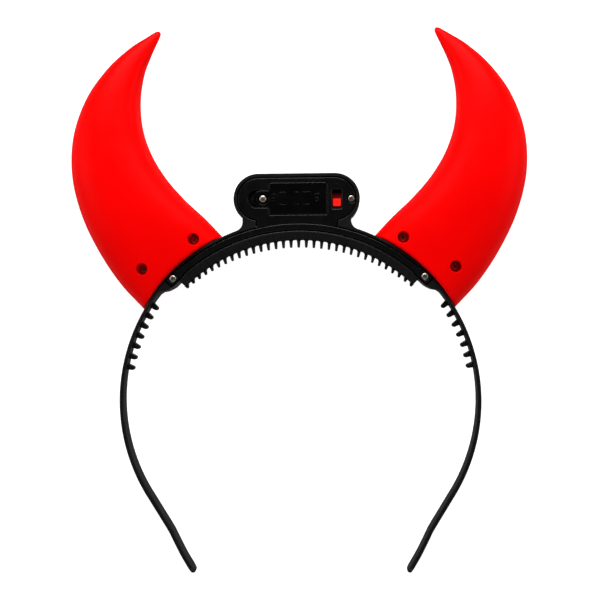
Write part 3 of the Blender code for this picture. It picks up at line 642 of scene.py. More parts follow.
def steel(name):
    """Bright nickel-plated steel with fine turning marks and a few dull specks."""
    shader = Shader(name)
    speck = shader.noise(0.0006, 4.0)
    shader.reach("Base Color", shader.ramp(speck, (0.35, (0.27, 0.24, 0.19)), (0.6, (0.50, 0.465, 0.40))))
    shader.reach("Roughness", shader.ranged(speck, 0.42, 0.22))
    shader.reach("Normal", shader.bump(shader.noise(0.0002, 2.0), 0.00001))
    shader.fixed(Metallic=1.0)
    return shader.material


def floor_white():
    """Matt white paper."""
    shader = Shader("floor_white")
    cloud = shader.noise(0.05)
    shader.reach("Base Color", shader.ramp(cloud, (0.3, (0.48, 0.48, 0.48)), (0.7, (0.52, 0.52, 0.52))))
    shader.fixed(Roughness=0.9, Specular_IOR_Level=0.0, Emission_Color=(1.0, 1.0, 1.0, 1.0),
                 Emission_Strength=0.95)
    return shader.material


def cover_screw_place(side):
    """Centre of the screw in a pad of the cover."""
    return polar(side * COVER_SCREW_ANGLE, COVER_SCREW_RADIUS, ARCH_CENTRE_Y)


def smooth_step(value, low, high):
    """0 below low, 1 above high and a smooth rise between them."""
    ratio = min(max((value - low) / (high - low), 0.0), 1.0)
    return ratio * ratio * (3 - 2 * ratio)


def arch_inner(degrees):
    """Distance from the band's centre to the arch's inner circle."""
    reach = ARCH_CENTRE_Y * cosine(degrees)
    return reach + math.sqrt(ARCH_INNER_RADIUS ** 2 - ARCH_CENTRE_Y ** 2 + reach ** 2)


def catmull(points, steps):
    """Points of a smooth curve from the second of the given points to the last but one."""
    curve = []
    for i in range(1, len(points) - 2):
        before, start, end, after = (Vector(point) for point in points[i - 1:i + 3])
        square = 2 * before - 5 * start + 4 * end - after
        cube = 3 * start - before - 3 * end + after
        for step in range(steps):
            t = step / steps
            curve.append(tuple(0.5 * (2 * start + (end - before) * t + square * t ** 2 + cube * t ** 3)))
    return curve + [tuple(points[-2])]


def band_stations():
    """Outer point, inward vector, thickness and half depth, from the arch's middle to the right tip."""
    rows = []
    steps = round(ARC_END / BAND_STEP)
    for i in range(steps + 1):
        angle = ARC_END * i / steps
        thickness = BAND_RADIUS - arch_inner(angle)
        if angle > ARCH_END:
            thickness -= (thickness - BLOCK_THICKNESS) * smooth_step(angle, ARCH_END, BLOCK_END)
        if angle > BLOCK_END:
            thickness += (ARM_THICKNESS - thickness) * smooth_step(angle, BLOCK_END, ARM_START) ** 0.5
        if angle > ARM_START:
            thickness += (ARM_LOW_THICKNESS - ARM_THICKNESS) * smooth_step(angle, ARM_START, ARC_END)
        narrowing = smooth_step(angle, ARCH_END, ARM_NARROW)
        depth = ARCH_HALF_DEPTH + (ARM_HALF_DEPTH - ARCH_HALF_DEPTH) * narrowing
        rows.append((polar(angle, BAND_RADIUS), (-sine(angle), -cosine(angle)), thickness, depth))
    tail = [polar(ARC_END - 6, BAND_RADIUS), polar(ARC_END, BAND_RADIUS)] + ARM_LEG
    tail.append(tuple(2 * Vector(ARM_LEG[-1]) - Vector(ARM_LEG[-2])))
    leg = catmull(tail, ARM_LEG_STEPS)
    for i in range(1, len(leg) - 2):
        along = (Vector(leg[i + 1]) - Vector(leg[i - 1])).normalized()
        inward = Vector((along.y, -along.x))
        rows.append((leg[i], tuple(inward), ARM_LOW_THICKNESS, ARM_HALF_DEPTH))
    end = Vector(ARM_LEG[-1]) + along * ARM_TIP_RADIUS
    for turn in ARM_TIP_TURNS:
        to_end = ARM_TIP_CORNER * (1 - sine(turn))
        missing = max(ARM_TIP_RADIUS - to_end, 0.0)
        thickness = ARM_LOW_THICKNESS * math.sqrt(1 - (missing / ARM_TIP_RADIUS) ** 2)
        shift = inward * (ARM_LOW_THICKNESS - thickness) / 2 - along * to_end
        depth = ARM_HALF_DEPTH - ARM_TIP_CORNER * (1 - cosine(turn))
        rows.append((tuple(end + shift), tuple(inward), thickness, depth))
    return rows


def band_ring(row, side):
    """Rounded rectangle across the band at a station on the right (+1) or left (-1)."""
    (x, y), (across_x, across_y), thickness, depth = row
    slimness = 1 - 0.45 * smooth_step(thickness, ARM_LOW_THICKNESS, BLOCK_THICKNESS)
    edge = min(BAND_EDGE * slimness, 0.42 * thickness)
    ring = []
    for inward, up, start in ((0, -1, 180), (0, 1, 90), (1, 1, 0), (1, -1, 270)):
        for i in range(EDGE_STEPS + 1):
            turn = start + 90 * (EDGE_STEPS - i) / EDGE_STEPS
            u = (edge if inward == 0 else thickness - edge) + edge * cosine(turn)
            z = up * (depth - edge) + edge * sine(turn)
            ring.append((side * (x + across_x * u), y + across_y * u, z))
    return ring


def comb_root():
    """Wedge that slopes from both faces of the arch down to the valleys between the teeth."""
    half = [(ARCH_INNER_RADIUS + GAP, ARCH_HALF_DEPTH - COMB_INSET),
            (COMB_VALLEY_RADIUS + COMB_VALLEY_EDGE, COMB_VALLEY_HALF_DEPTH + COMB_VALLEY_EDGE),
            (COMB_VALLEY_RADIUS, COMB_VALLEY_HALF_DEPTH - COMB_VALLEY_EDGE)]
    section = [(half[0][0], -half[0][1])] + half + [(radius, -z) for radius, z in half[:0:-1]]
    rings = []
    for i in range(COMB_STEPS + 1):
        angle = COMB_END * (2 * i / COMB_STEPS - 1)
        rings.append([(*polar(angle, radius, ARCH_CENTRE_Y), z) for radius, z in section])
    return shape_of(rings)


def tooth_ring(centre, across, width, depth):
    """Section of a tooth with a blunt ridge at the back and at the front."""
    flank = max(depth - TOOTH_RIDGE, 0.25 * depth)
    slope = flank + 0.62 * (depth - flank)
    profile = [(-0.5, -flank), (-0.34, -slope), (-0.1, -depth),
               (0.1, -depth), (0.34, -slope), (0.5, -flank)]
    profile += [(-u, -z) for u, z in profile]
    return [(centre.x + across.x * u * width, centre.y + across.y * u * width, z) for u, z in profile]


def teeth():
    """Comb teeth, each running from high on the sloping root to its tip."""
    shapes = []
    for n in range(-TEETH_EACH_SIDE, TEETH_EACH_SIDE + 1):
        angle = n * TOOTH_STEP
        lean = TOOTH_LEAN * angle
        tip = Vector(polar(angle, TOOTH_TIP_RADIUS, TOOTH_CENTRE_Y))
        outward = Vector((sine(lean), cosine(lean)))
        across = Vector((outward.y, -outward.x))
        from_arch = tip - Vector((0.0, ARCH_CENTRE_Y))
        drop = from_arch.dot(outward)
        valley = -drop + math.sqrt(COMB_VALLEY_RADIUS ** 2 - from_arch.length_squared + drop ** 2)
        top = -drop + math.sqrt(ARCH_INNER_RADIUS ** 2 - from_arch.length_squared + drop ** 2)
        rows = [(at, TOOTH_TIP_WIDTH * width, TOOTH_TIP_HALF_DEPTH * depth)
                for at, width, depth in TOOTH_TIP_ROWS]
        for turn in TOOTH_FILLET_TURNS:
            rows.append((valley - TOOTH_FILLET * (1 - sine(turn)),
                         TOOTH_ROOT_WIDTH + 2 * TOOTH_FILLET * (1 - cosine(turn)),
                         COMB_VALLEY_HALF_DEPTH + TOOTH_RIDGE * (1 - 0.9 * sine(turn))))
        ridge_depth = COMB_VALLEY_HALF_DEPTH + TOOTH_RIDGE
        rows += [(valley + 0.1, TOOTH_ROOT_WIDTH, ridge_depth),
                 (valley + 0.4, TOOTH_ROOT_WIDTH, ridge_depth + 0.65),
                 (top, TOOTH_ROOT_WIDTH, ARCH_HALF_DEPTH - 3 * GAP)]
        shapes.append(shape_of([tooth_ring(tip + outward * at, across, width, depth)
                                for at, width, depth in rows]))
    return shapes


def stubs():
    """Fins on the arms that point at the band's centre, each with its longer slope on the upper side."""
    shapes = []
    for i in range(STUBS):
        elevation = STUB_FIRST + i * STUB_STEP
        inward = Vector((-cosine(elevation), -sine(elevation)))
        up = Vector((inward.y, -inward.x))
        root = -inward * (BAND_RADIUS - ARM_THICKNESS / 2)
        tip = -inward * (STUB_TIP_RADIUS + STUB_END_RADIUS)
        points = [root + up * STUB_SHOULDER, root - up * STUB_HEEL]
        for step in range(STUB_END_STEPS + 1):
            turn = 180 * (step / STUB_END_STEPS - 0.5)
            points.append(tip + (inward * cosine(turn) + up * sine(turn)) * STUB_END_RADIUS)
        for side in (-1, 1):
            outline = [(side * point.x, point.y) for point in points]
            shapes.append(slab(outline, -STUB_HALF_DEPTH, STUB_HALF_DEPTH, EDGE, EDGE))
    return shapes


def stadium(radius):
    """Long outline with round ends about the housing's middle line."""
    points = []
    for side in (1, -1):
        for i in range(END_STEPS + 1):
            turn = 180 * (i / END_STEPS - 0.5)
            points.append((HOUSING_X + side * (HOUSING_END_X + radius * cosine(turn)),
                           HOUSING_Y + side * radius * sine(turn)))
    return points


def neck(half_width, low_y):
    """Block between the arch and the housing."""
    left = HOUSING_X - half_width
    right = HOUSING_X + half_width
    return [(left, low_y), (right, low_y), (right, HOUSING_Y), (left, HOUSING_Y)]


def web_side(side):
    """One side of the gusset beside the neck: a hollow flare off the band and a straight edge up."""
    half = WEB_HALF_WIDTH + side * HOUSING_X
    foot = math.degrees(math.asin((half + WEB_FLARE) / (BAND_RADIUS + WEB_FLARE)))
    x, y = polar(foot, BAND_RADIUS + WEB_FLARE)
    points = [polar(foot, BAND_RADIUS - WEB_SINK)]
    for step in range(WEB_STEPS + 1):
        turn = 270 - foot - (90 - foot) * step / WEB_STEPS
        points.append((x + WEB_FLARE * cosine(turn), y + WEB_FLARE * sine(turn)))
    points.append((half, HOUSING_Y - WEB_SINK))
    return foot, [(side * x, y) for x, y in points]


def web_outline():
    """Gusset beside the neck, its lower edge hidden in the band."""
    right_foot, right = web_side(1)
    left_foot, left = web_side(-1)
    return right + left[::-1] + arc(-left_foot, right_foot, BAND_RADIUS - WEB_SINK, 2 * WEB_STEPS)[1:-1]


def pad_outline(side, grow):
    """Round-cornered pad at an end of the cover's strip."""
    inner = STRIP_INNER_RADIUS - grow
    start = side * (PAD_START - math.degrees(grow / inner))
    end = side * (PAD_END + math.degrees(grow / inner))
    far = PAD_OUTER_RADIUS + grow
    rows = [(start, inner, 0.0), (start, far, PAD_CORNER), (end, far, PAD_CORNER), (end, inner, PAD_CORNER)]
    return rounded([(*polar(angle, radius, ARCH_CENTRE_Y), corner) for angle, radius, corner in rows])


def cover_cutters():
    """Cutters of the recess that the cover lies in."""
    plate = stadium(HOUSING_RADIUS - HOUSING_RIM)
    stem = neck(COVER_NECK_HALF_WIDTH + GAP, COVER_NECK_LOW_Y)
    strip = arch_band(STRIP_END, STRIP_INNER_RADIUS - GAP, STRIP_OUTER_RADIUS + SEAM)
    rows = [(plate, 0), (stem, 0), (strip, 2 * HAIR)]
    rows += [(pad_outline(side, SEAM), 4 * HAIR) for side in (-1, 1)]
    floor = BACK_FACE - COVER_THICKNESS - GAP
    return [cutter(outline, floor + lift, BACK_FACE + lift) for outline, lift in rows]


def tab_outline(side):
    """Outline of the frame's tab inside a horn."""
    return rounded([(*polar(side * degrees, radius), TAB_CORNER if radius > BAND_RADIUS else 0.0)
                    for degrees, radius in TAB_OUTLINE])


def make_frame():
    """Black moulding: band, housing, comb, stubs and the tabs inside the horns."""
    rows = band_stations()
    rings = [band_ring(row, -1) for row in reversed(rows)] + [band_ring(row, 1) for row in rows[1:]]
    piece = object_of(shape_of(rings))
    body = slab(stadium(HOUSING_RADIUS), HOUSING_FRONT, BACK_FACE, HOUSING_FRONT_EDGE, EDGE)
    stem = slab(neck(NECK_HALF_WIDTH, NECK_LOW_Y), HOUSING_FRONT + NECK_SET_BACK, BACK_FACE - 5 * HAIR,
                HOUSING_FRONT_EDGE, EDGE)
    web = slab(web_outline(), HOUSING_FRONT + WEB_SET_BACK, BACK_FACE - 10 * HAIR, WEB_FRONT_EDGE, EDGE)
    combine(piece, "UNION", stem, body, web)
    combine(piece, "DIFFERENCE", *cover_cutters())
    floor = HOUSING_FRONT + HOUSING_FLOOR
    cover_low = BACK_FACE - COVER_THICKNESS
    tray_top = cover_low - GAP + OVERLAP
    tray = slab(stadium(HOUSING_RADIUS - HOUSING_RIM - TRAY_LEDGE), floor, tray_top)
    stem_low_y = CHANNEL_INNER_RADIUS + ARCH_CENTRE_Y + GAP
    stem_tray = slab(neck(COVER_NECK_HALF_WIDTH - TRAY_LEDGE, stem_low_y), floor + OVERLAP,
                     tray_top - 10 * HAIR)
    channel = slab(arch_band(CHANNEL_END, CHANNEL_INNER_RADIUS, CHANNEL_OUTER_RADIUS),
                   cover_low - CHANNEL_DEPTH, tray_top - 20 * HAIR)
    combine(piece, "DIFFERENCE", tray, stem_tray, channel)
    combine(piece, "DIFFERENCE", [shank_hole(cover_screw_place(side), cover_low - SCREW_LENGTH, BACK_FACE)
                                  for side in (-1, 1)])
    shapes = [comb_root()] + teeth() + stubs()
    shapes += [slab(tab_outline(side), -TAB_HALF_THICKNESS, TAB_HALF_THICKNESS) for side in (-1, 1)]
    join(piece, *shapes)
    finish(piece, "fine_frame", "headband", "frame_black", "headband_frame")


def door_outline(grow=0.0):
    """Door plate with a round tab on its left side, grown by a clearance."""
    left = DOOR_LEFT - grow
    right = DOOR_RIGHT + grow
    low = DOOR_LOW - grow
    high = DOOR_HIGH + grow
    radius = TAB_RADIUS + grow
    corners = [(right, low, DOOR_CORNER), (right, high, DOOR_CORNER), (left, high, DOOR_CORNER),
               (left, TAB_Y + radius, DOOR_CORNER), (TAB_X, TAB_Y + radius, 0.0),
               (TAB_X, TAB_Y - radius, 0.0), (left, TAB_Y - radius, DOOR_CORNER), (left, low, DOOR_CORNER)]
    outline = rounded(corners)
    top = outline.index((TAB_X, TAB_Y + radius))
    turns = [90 + 180 * i / END_STEPS for i in range(1, END_STEPS)]
    tab = [(TAB_X + radius * cosine(turn), TAB_Y + radius * sine(turn)) for turn in turns]
    return outline[:top + 1] + tab + outline[top + 1:]


def make_cover():
    """T-shaped cover with its door recess, switch slot, screw recesses and finger notch."""
    low = BACK_FACE - COVER_THICKNESS
    high = BACK_FACE + STRIP_RISE
    below = low - CLEAR
    plate = stadium(HOUSING_RADIUS - HOUSING_RIM - SEAM)
    piece = object_of(slab(plate, low, BACK_FACE, 0.0, EDGE))
    stem = neck(COVER_NECK_HALF_WIDTH + GAP - SEAM, COVER_NECK_LOW_Y)
    strip = arch_band(STRIP_END, STRIP_INNER_RADIUS + SEAM - GAP, STRIP_OUTER_RADIUS)
    boss = circle(*DOOR_SCREW, BOSS_RADIUS, BOSS_SIDES)
    pads = [slab(pad_outline(side, 0.0), low + 4 * HAIR, high + 4 * HAIR, 0.0, EDGE) for side in (-1, 1)]
    combine(piece, "UNION", slab(stem, low, BACK_FACE - 2 * HAIR, 0.0, EDGE),
            slab(strip, low + 2 * HAIR, high, 0.0, EDGE),
            slab(boss, low - DOOR_BOSS_LENGTH, low + GAP), *pads)
    door_floor = BACK_FACE - DOOR_SINK - DOOR_THICKNESS - GAP
    notch = circle(NOTCH_X, TAB_Y, NOTCH_RADIUS, NOTCH_SIDES)
    hatch = rectangle(DOOR_LEFT + DOOR_LEDGE, DOOR_RIGHT - DOOR_LEDGE, DOOR_LOW + DOOR_LEDGE,
                      DOOR_HIGH - DOOR_LEDGE, HATCH_CORNER)
    slot = switch_rectangle(SLOT_HALF_WIDTH, SLOT_LOW, SLOT_HIGH, SLOT_CORNER)
    combine(piece, "DIFFERENCE", cutter(notch, BACK_FACE - NOTCH_DEPTH, BACK_FACE),
            cutter(door_outline(GAP), door_floor, BACK_FACE), slab(hatch, below, door_floor + OVERLAP),
            cutter(slot, below, BACK_FACE, SLOT_EDGE))
    well = circle(*HOUSING_SCREW, SCREW_RECESS_RADIUS, RECESS_SIDES)
    wells = [cutter(well, BACK_FACE - SCREW_RECESS_DEPTH, BACK_FACE, RECESS_EDGE)]
    hole_top = BACK_FACE - HOLE_TOP_DEPTH
    holes = [shank_hole(HOUSING_SCREW, below, hole_top)]
    for side in (-1, 1):
        place = cover_screw_place(side)
        well = circle(*place, PAD_RECESS_RADIUS, RECESS_SIDES)
        wells.append(cutter(well, high - SCREW_RECESS_DEPTH, high, PAD_RECESS_EDGE))
        holes.append(shank_hole(place, below, hole_top))
    holes.append(shank_hole(DOOR_SCREW, below - DOOR_BOSS_CUT, hole_top))
    combine(piece, "DIFFERENCE", wells, holes)
    finish(piece, "fine_cover", "headband", "cover_black", "back_cover")


def ridge(outline, low, high):
    """Low raised line along a closed outline, as one skin round a loop."""
    inner = grown(outline, -LINE)
    return shape_of([level(outline, high - RELIEF), level(grown(outline, -0.5 * LINE), high),
                     level(inner, high - RELIEF), level(inner, low), level(outline, low)], True)


def bar(x, half_x, half_y, low, high):
    """Low raised bar on the marks' line."""
    return slab(rectangle(x - half_x, x + half_x, MARK_Y - half_y, MARK_Y + half_y, BAR_CORNER), low, high,
                0.0, BAR_EDGE)


def make_door():
    """Battery door: tab with a countersunk seat, and a plain diagram of the cells in low relief."""
    top = BACK_FACE - DOOR_SINK
    piece = object_of(slab(door_outline(), top - DOOR_THICKNESS, top, 0.0, EDGE))
    seat = circle(*DOOR_SCREW, DOOR_RECESS_RADIUS, SEAT_SIDES)
    combine(piece, "DIFFERENCE", cutter(seat, top - DOOR_RECESS_DEPTH, top, RECESS_EDGE),
            shank_hole(DOOR_SCREW, top - DOOR_THICKNESS - CLEAR, top - DOOR_RECESS_DEPTH / 2))
    low = top - RELIEF_ROOT
    high = top + RELIEF
    outlines = [rectangle(left, right, CELL_LOW, CELL_HIGH, CELL_CORNER) for left, right in CELLS]
    outlines += [circle(x, MARK_Y, MARK_RADIUS, MARK_SIDES) for x in (MINUS_X, PLUS_X)]
    bars = [(PLUS_X, BAR_HALF_LENGTH, BAR_HALF_WIDTH), (PLUS_X, BAR_HALF_WIDTH, BAR_HALF_LENGTH),
            (MINUS_X, BAR_HALF_LENGTH, BAR_HALF_WIDTH)]
    join(piece, *[ridge(outline, low, high) for outline in outlines],
         *[bar(*row, low, high) for row in bars])
    finish(piece, "fine_door", "headband", "door_black", "battery_door")


def make_lettering():
    """ON and OFF above and below the switch, in low relief."""
    for word, y in WORDS:
        text = bpy.data.curves.new(word, "FONT")
        text.body = word
        text.size = WORD_SIZE
        text.align_x = "CENTER"
        text.align_y = "CENTER"
        text.extrude = WORD_HALF_HEIGHT
        text.bevel_depth = WORD_BEVEL
        guide = new_object(word, text)
        guide.location = (SWITCH_X, y, BACK_FACE + WORD_LIFT)
        bpy.context.view_layer.update()
        graph = bpy.context.evaluated_depsgraph_get()
        mesh = bpy.data.meshes.new_from_object(guide.evaluated_get(graph))
        mesh.transform(guide.matrix_world)
        bpy.data.objects.remove(guide)
        name = "mark_" + word.lower()
        finish(new_object(name, mesh), name, "headband", "cover_black")


def make_slider():
    """Red slider: a rounded knob on a wider foot under the cover, the foot in a darker red that is painted
    shade for the shadow under the cover.
    """
    top = BACK_FACE - COVER_THICKNESS - GAP
    foot = slab(switch_rectangle(SLIDER_HALF_WIDTH, SLIDER_LOW, SLIDER_HIGH, SLOT_CORNER),
                top - SLIDER_THICKNESS, top, 0.0, SLIDER_EDGE)
    knob = slab(switch_rectangle(KNOB_HALF_WIDTH, KNOB_LOW, KNOB_HIGH, KNOB_CORNER),
                top - SLIDER_THICKNESS / 2, KNOB_TOP, 0.0, KNOB_EDGE)
    # The foot's much darker red is painted shade: the same red plastic as the knob, darkened for the shadow
    # it lies in under the cover
    finish(object_of(foot), "fine_slider_foot", "switch", "foot_red_painted_shade")
    finish(object_of(knob), "fine_slider", "switch", "slider_red", "switch_slider")


def make_screw(node, x, y, seat, head_radius, length, turn, roundness=SCREW_ROUNDNESS):
    """Pan-head screw with a cross in its head; a higher roundness gives a flatter top."""
    profile = [(SCREW_END_RADIUS, SCREW_HEAD_HEIGHT)]
    for degrees in range(10, 91, 8):
        rise = SCREW_RIM + (1 - SCREW_RIM) * cosine(degrees) ** (2 / roundness)
        profile.append((head_radius * sine(degrees) ** (2 / roundness), SCREW_HEAD_HEIGHT * rise))
    profile += [(head_radius, SCREW_HEAD_EDGE), (head_radius - SCREW_HEAD_EDGE, 0.0),
                (SCREW_SHANK_RADIUS, 0.0)]
    depth = THREAD_START
    while depth - THREAD_PITCH > -length + 2 * SCREW_SHANK_RADIUS:
        profile += [(SCREW_SHANK_RADIUS, depth),
                    (SCREW_SHANK_RADIUS - THREAD_DEPTH, depth - THREAD_PITCH / 2)]
        depth -= THREAD_PITCH
    profile += [(SCREW_SHANK_RADIUS, depth), (SCREW_END_RADIUS, -length)]
    rings = [level(circle(x, y, radius, SCREW_SIDES), seat + z) for radius, z in profile]
    piece = object_of(shape_of(rings))
    head_top = seat + SCREW_HEAD_HEIGHT
    spin = Matrix.Rotation(math.radians(turn), 2)
    bars = []
    for order in (1, -1):
        rings = []
        for share, z in ((0.45, -CROSS_DEPTH), (1.0, -CROSS_RIM_DEPTH), (1.15, CLEAR)):
            wide, tall = (CROSS_HALF_LENGTH * share, CROSS_HALF_WIDTH * (0.6 + 0.4 * share))[::order]
            ring = [spin @ Vector(corner)
                    for corner in ((-wide, -tall), (wide, -tall), (wide, tall), (-wide, tall))]
            rings.append([(x + point.x, y + point.y, head_top + z) for point in ring])
        bars.append(shape_of(rings))
    combine(piece, "DIFFERENCE", *bars)
    finish(piece, "fine_" + node, "headband", "steel", node)


def make_screws():
    """Screws of the door, the housing, the cover's ends and the horns."""
    lift = GAP - SCREW_RECESS_DEPTH
    door_seat = BACK_FACE - DOOR_SINK - DOOR_RECESS_DEPTH + GAP
    make_screw("door_screw", *DOOR_SCREW, door_seat, SCREW_HEAD_RADIUS, DOOR_SCREW_LENGTH, 30)
    make_screw("housing_screw", *HOUSING_SCREW, BACK_FACE + lift, HOUSING_SCREW_SHARE * SCREW_HEAD_RADIUS,
               SCREW_LENGTH, 8, HOUSING_SCREW_ROUNDNESS)
    seat = TAB_HALF_THICKNESS + GAP + WELL_FLOOR + GAP
    for word, side, turn in (("left", -1, 20), ("right", 1, 62)):
        make_screw("cover_screw_" + word, *cover_screw_place(side), BACK_FACE + STRIP_RISE + lift,
                   SCREW_HEAD_RADIUS, SCREW_LENGTH, turn)
        for end, (x, y) in HORN_SCREWS.items():
            make_screw("horn_%s_screw_%s" % (word, end), side * x, y, seat, HORN_SCREW_HEAD_RADIUS,
                       HORN_SCREW_LENGTH, turn + 25)


def horn_row(along):
    """Horn section at a fraction of its length, by a Catmull-Rom curve through the table's rows."""
    rows = HORN_SECTIONS
    i = max(k for k in range(len(rows) - 1) if rows[k][0] <= along or k == 0)
    before = rows[max(i - 1, 0)]
    start = rows[i]
    end = rows[i + 1]
    after = rows[min(i + 2, len(rows) - 1)]
    span = end[0] - start[0]
    ratio = (along - start[0]) / span
    values = []
    for column in range(1, len(HORN_COLUMNS)):
        slope_in = (end[column] - before[column]) / (end[0] - before[0]) * span
        slope_out = (after[column] - start[column]) / (after[0] - start[0]) * span
        cube = 2 * start[column] - 2 * end[column] + slope_in + slope_out
        square = -3 * start[column] + 3 * end[column] - 2 * slope_in - slope_out
        values.append(((cube * ratio + square) * ratio + slope_in) * ratio + start[column])
    return values


def horn_section(along, inset, spans):
    """Points across a horn section as (x, y, height share), and its half thickness."""
    inner_x, inner_y, outer_x, outer_y, thickness = horn_row(along)
    inner = Vector((inner_x, inner_y))
    outer = Vector((outer_x, outer_y))
    chord = (outer - inner).normalized()
    inner += chord * inset
    outer -= chord * inset
    base_radius = HORN_BASE_RADIUS + inset
    base = horn_row(0.0)
    first = math.atan2(base[0], base[1]) + inset / base_radius
    last = math.atan2(base[2], base[3]) - inset / base_radius
    fade = max(0.0, 1 - along / HORN_ARC_FADE) ** 2
    points = []
    for i in range(spans + 1):
        across = -math.cos(math.pi * i / spans)
        share = (across + 1) / 2
        on_chord = inner.lerp(outer, share)
        on_arc = Vector(polar(math.degrees(first + (last - first) * share), base_radius))
        chord_start = Vector(polar(math.degrees(first), base_radius))
        base_chord = chord_start.lerp(Vector(polar(math.degrees(last), base_radius)), share)
        point = on_chord + (on_arc - base_chord) * fade
        height = max(0.0, 1 - abs(across) ** HORN_ROUNDNESS) ** (1 / HORN_ROUNDNESS)
        points.append((point.x, point.y, height))
    return points, thickness - inset


def half_shell(rows, width):
    """Skin over rows that each hold an upper and a lower line of points, all of it in four-sided faces."""
    verts = [point for row in rows for point in row]
    faces = []
    for k in range(len(rows) - 1):
        here = 2 * width * k
        ahead = here + 2 * width
        for i in range(width - 1):
            faces.append((here + i, here + i + 1, ahead + i + 1, ahead + i))
            faces.append((here + width + i, ahead + width + i, ahead + width + i + 1, here + width + i + 1))
        for i in (0, width - 1):
            faces.append((here + i, ahead + i, ahead + width + i, here + width + i))
    for start in (0, 2 * width * (len(rows) - 1)):
        for i in range(start, start + width - 1):
            faces.append((i, i + width, i + width + 1, i + 1))
    return verts, faces


def horn_shape(side, face, inset, floor, end, stations, spans, soften):
    """Skin of half a horn above (face +1) or below (face -1) its parting plane, drawn in by an inset."""
    rows = []
    places = [end * i / stations for i in range(stations + 1)]
    if soften:
        places = sorted(places + [HORN_BASE_EDGE * share for share in HORN_BASE_STOPS]
                        + [1 - HORN_TIP_EDGE * share for share in HORN_TIP_STOPS])
    edge = GAP / 2 + HORN_LAND
    for along in places:
        points, thickness = horn_section(along, inset, spans)
        if along == 0.0:
            base_radius = HORN_BASE_RADIUS + inset
            points = [(*(Vector((x, y)).normalized() * base_radius), height) for x, y, height in points]
        shrink = 1.0
        if soften and along < HORN_BASE_EDGE:
            shrink = 1 - HORN_BASE_DROP * (1 - math.sqrt(1 - (1 - along / HORN_BASE_EDGE) ** 2))
        if soften and along > 1 - HORN_TIP_EDGE:
            run = (along - 1 + HORN_TIP_EDGE) / HORN_TIP_EDGE
            shrink = max(math.sqrt(max(1 - run ** 2, 0.0)), HORN_TIP_BLUNT)
        middle = Vector(points[0][:2]).lerp(Vector(points[-1][:2]), 0.5)
        if along > 0.5:
            points = [(middle.x + (x - middle.x) * shrink, middle.y + (y - middle.y) * shrink, height)
                      for x, y, height in points]
        rise = max((thickness - edge) * shrink, HORN_LEAST_RISE)
        foot = edge * (shrink if along > 0.5 else 1.0)
        rows.append([(side * x, y, face * (foot + rise * height)) for x, y, height in points]
                    + [(side * x, y, face * floor) for x, y, _ in points])
    return half_shell(rows, spans + 1)


def make_horn_half(word, side, half, face):
    """Half shell of a horn with its screw wells or pillars."""
    shell = object_of(horn_shape(side, face, 0.0, GAP / 2, 1.0, HORN_STATIONS, HORN_SPANS, True))
    cavity = object_of(horn_shape(side, face, HORN_WALL, -CLEAR, HORN_CAVITY_END, CAVITY_STATIONS,
                                  CAVITY_SPANS, False))
    foot = TAB_HALF_THICKNESS + GAP
    places = [(side * x, y) for x, y in HORN_SCREWS.values()]
    ends = sorted((face * foot, face * HORN_THROUGH))
    combine(cavity, "DIFFERENCE", [slab(circle(x, y, WELL_RADIUS + WELL_WALL, PILLAR_SIDES), *ends)
                                   for x, y in places])
    if half == "back":
        tree = BVHTree.FromPolygons([vertex.co for vertex in shell.data.vertices],
                                    [polygon.vertices[:] for polygon in shell.data.polygons])
        trumpets = []
        for x, y in places:
            rings = [level(circle(x, y, WELL_RADIUS, WELL_SIDES), foot + WELL_FLOOR)]
            for i in range(EDGE_STEPS + 2):
                turn = 90 * i / (EDGE_STEPS + 1)
                ring = []
                for px, py in circle(x, y, WELL_RADIUS + WELL_EDGE * (1 - cosine(turn)), WELL_SIDES):
                    surface = tree.ray_cast(Vector((px, py, 2 * HORN_THROUGH)), Vector((0, 0, -1)))[0].z
                    ring.append((px, py, surface - WELL_EDGE * (1 - sine(turn))))
                rings.append(ring)
            rings.append(level(circle(x, y, WELL_RADIUS + WELL_EDGE, WELL_SIDES), HORN_THROUGH))
            trumpets.append(shape_of(rings))
        combine(shell, "DIFFERENCE", cavity, trumpets,
                [shank_hole(place, foot - GAP, foot + 2 * WELL_FLOOR) for place in places])
    else:
        combine(shell, "DIFFERENCE", cavity)
    finish(shell, "fine_horn_%s_%s" % (word, half), "headband", "horn_red", "horn_%s_%s" % (word, half))


def make_horns():
    """Both horns, each of a back and a front half."""
    for word, side in (("left", -1), ("right", 1)):
        for half, face in (("back", 1), ("front", -1)):
            make_horn_half(word, side, half, face)


def make_camera():
    """Camera square to the headband's back, but for a small turn to its right."""
    data = bpy.data.cameras.new("camera")
    data.sensor_width = SENSOR
    data.lens = SENSOR * CAMERA_DISTANCE / FRAME_WIDTH
    data.clip_start = 0.01
    camera = new_object("camera", data)
    yaw = Matrix.Rotation(math.radians(CAMERA_YAW), 4, "Y")
    roll = Matrix.Rotation(math.radians(CAMERA_ROLL), 4, "Z")
    place = TO_WORLD @ Matrix.Translation(AIM) @ yaw @ Matrix.Translation((0, 0, CAMERA_DISTANCE)) @ roll
    camera.location = place.translation
    camera.rotation_euler = place.to_quaternion().to_euler()
    bpy.context.scene.camera = camera


def make_light(name, place, aim, size, watts):
    """Rectangular softbox turned towards a point."""
    data = bpy.data.lights.new(name, "AREA")
    data.shape = "RECTANGLE"
    data.size, data.size_y = size
    data.energy = watts
    light = new_object(name, data)
    light.location = place
    light.rotation_euler = (Vector(aim) - Vector(place)).to_track_quat("-Z", "Y").to_euler()


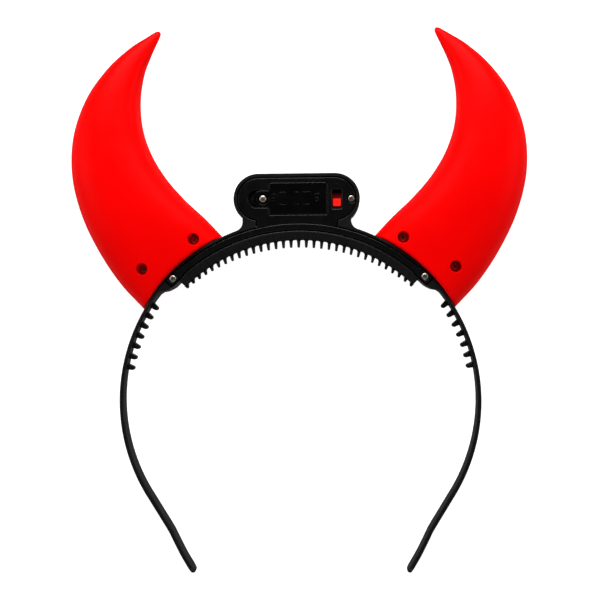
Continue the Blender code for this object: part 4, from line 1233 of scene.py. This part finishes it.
def tent_world():
    """Surroundings like a light tent: bright walls from the horizon up, a dark opening overhead."""
    world = bpy.data.worlds.new("studio")
    world.use_nodes = True
    tree = world.node_tree
    place = tree.nodes.new("ShaderNodeTexCoord")
    split = tree.nodes.new("ShaderNodeSeparateXYZ")
    height = tree.nodes.new("ShaderNodeMapRange")
    height.inputs["From Min"].default_value = -1.0
    walls = tree.nodes.new("ShaderNodeValToRGB")
    set_ramp(walls, [(at, (grey, grey, grey)) for at, grey in TENT_WALLS])
    tree.links.new(place.outputs["Generated"], split.inputs["Vector"])
    tree.links.new(split.outputs["Z"], height.inputs["Value"])
    tree.links.new(height.outputs["Result"], walls.inputs["Fac"])
    tree.links.new(walls.outputs["Color"], tree.nodes["Background"].inputs["Color"])
    return world


def make_studio():
    """White floor, surroundings and softboxes."""
    scene = bpy.context.scene
    bpy.ops.mesh.primitive_plane_add(size=FLOOR_SIZE, location=(0.0, 0.0, -FLOOR_DROP))
    floor = bpy.context.object
    floor.name = "floor"
    floor.data.materials.append(floor_white())
    floor.visible_glossy = False
    scene.world = tent_world()
    for light in LIGHTS:
        make_light(*light)
    scene.view_settings.view_transform = "Standard"


# Each finish: the record's slot it belongs to, how it is made, its colours, roughness, and grain or shine
FINISH_ROWS = {
    "frame_black": ("black_plastic", black_plastic, (0.0038, 0.0055), (0.28, 0.36), 0.000012),
    "cover_black": ("black_plastic", black_plastic, (0.0018, 0.0028), (0.20, 0.28), 0.000006),
    "door_black": ("black_plastic", black_plastic, (0.0005, 0.0009), (0.18, 0.24), 0.000004),
    "slider_red": ("red_plastic", red_plastic, (0.86, 0.008, 0.004), (0.95, 0.012, 0.006), (0.3, 0.4), 0.3),
    # The foot's red is the slider's red made much darker, painted shade for the foot lying in shadow under
    # the cover
    "foot_red_painted_shade": ("red_plastic", red_plastic, (0.14, 0.002, 0.001), (0.22, 0.003, 0.002), (0.4, 0.5), 0.1),
    "horn_red": ("horn_plastic", red_plastic, (0.84, 0.0003, 0.0003), (0.92, 0.0006, 0.0005), (0.32, 0.42),
                 0.035),
    "steel": ("steel", steel),
}
FINISHES = {look: (slot, make(look, *values)) for look, (slot, make, *values) in FINISH_ROWS.items()}

make_camera()
make_studio()
make_frame()
make_cover()
make_door()
make_lettering()
make_slider()
make_screws()
make_horns()
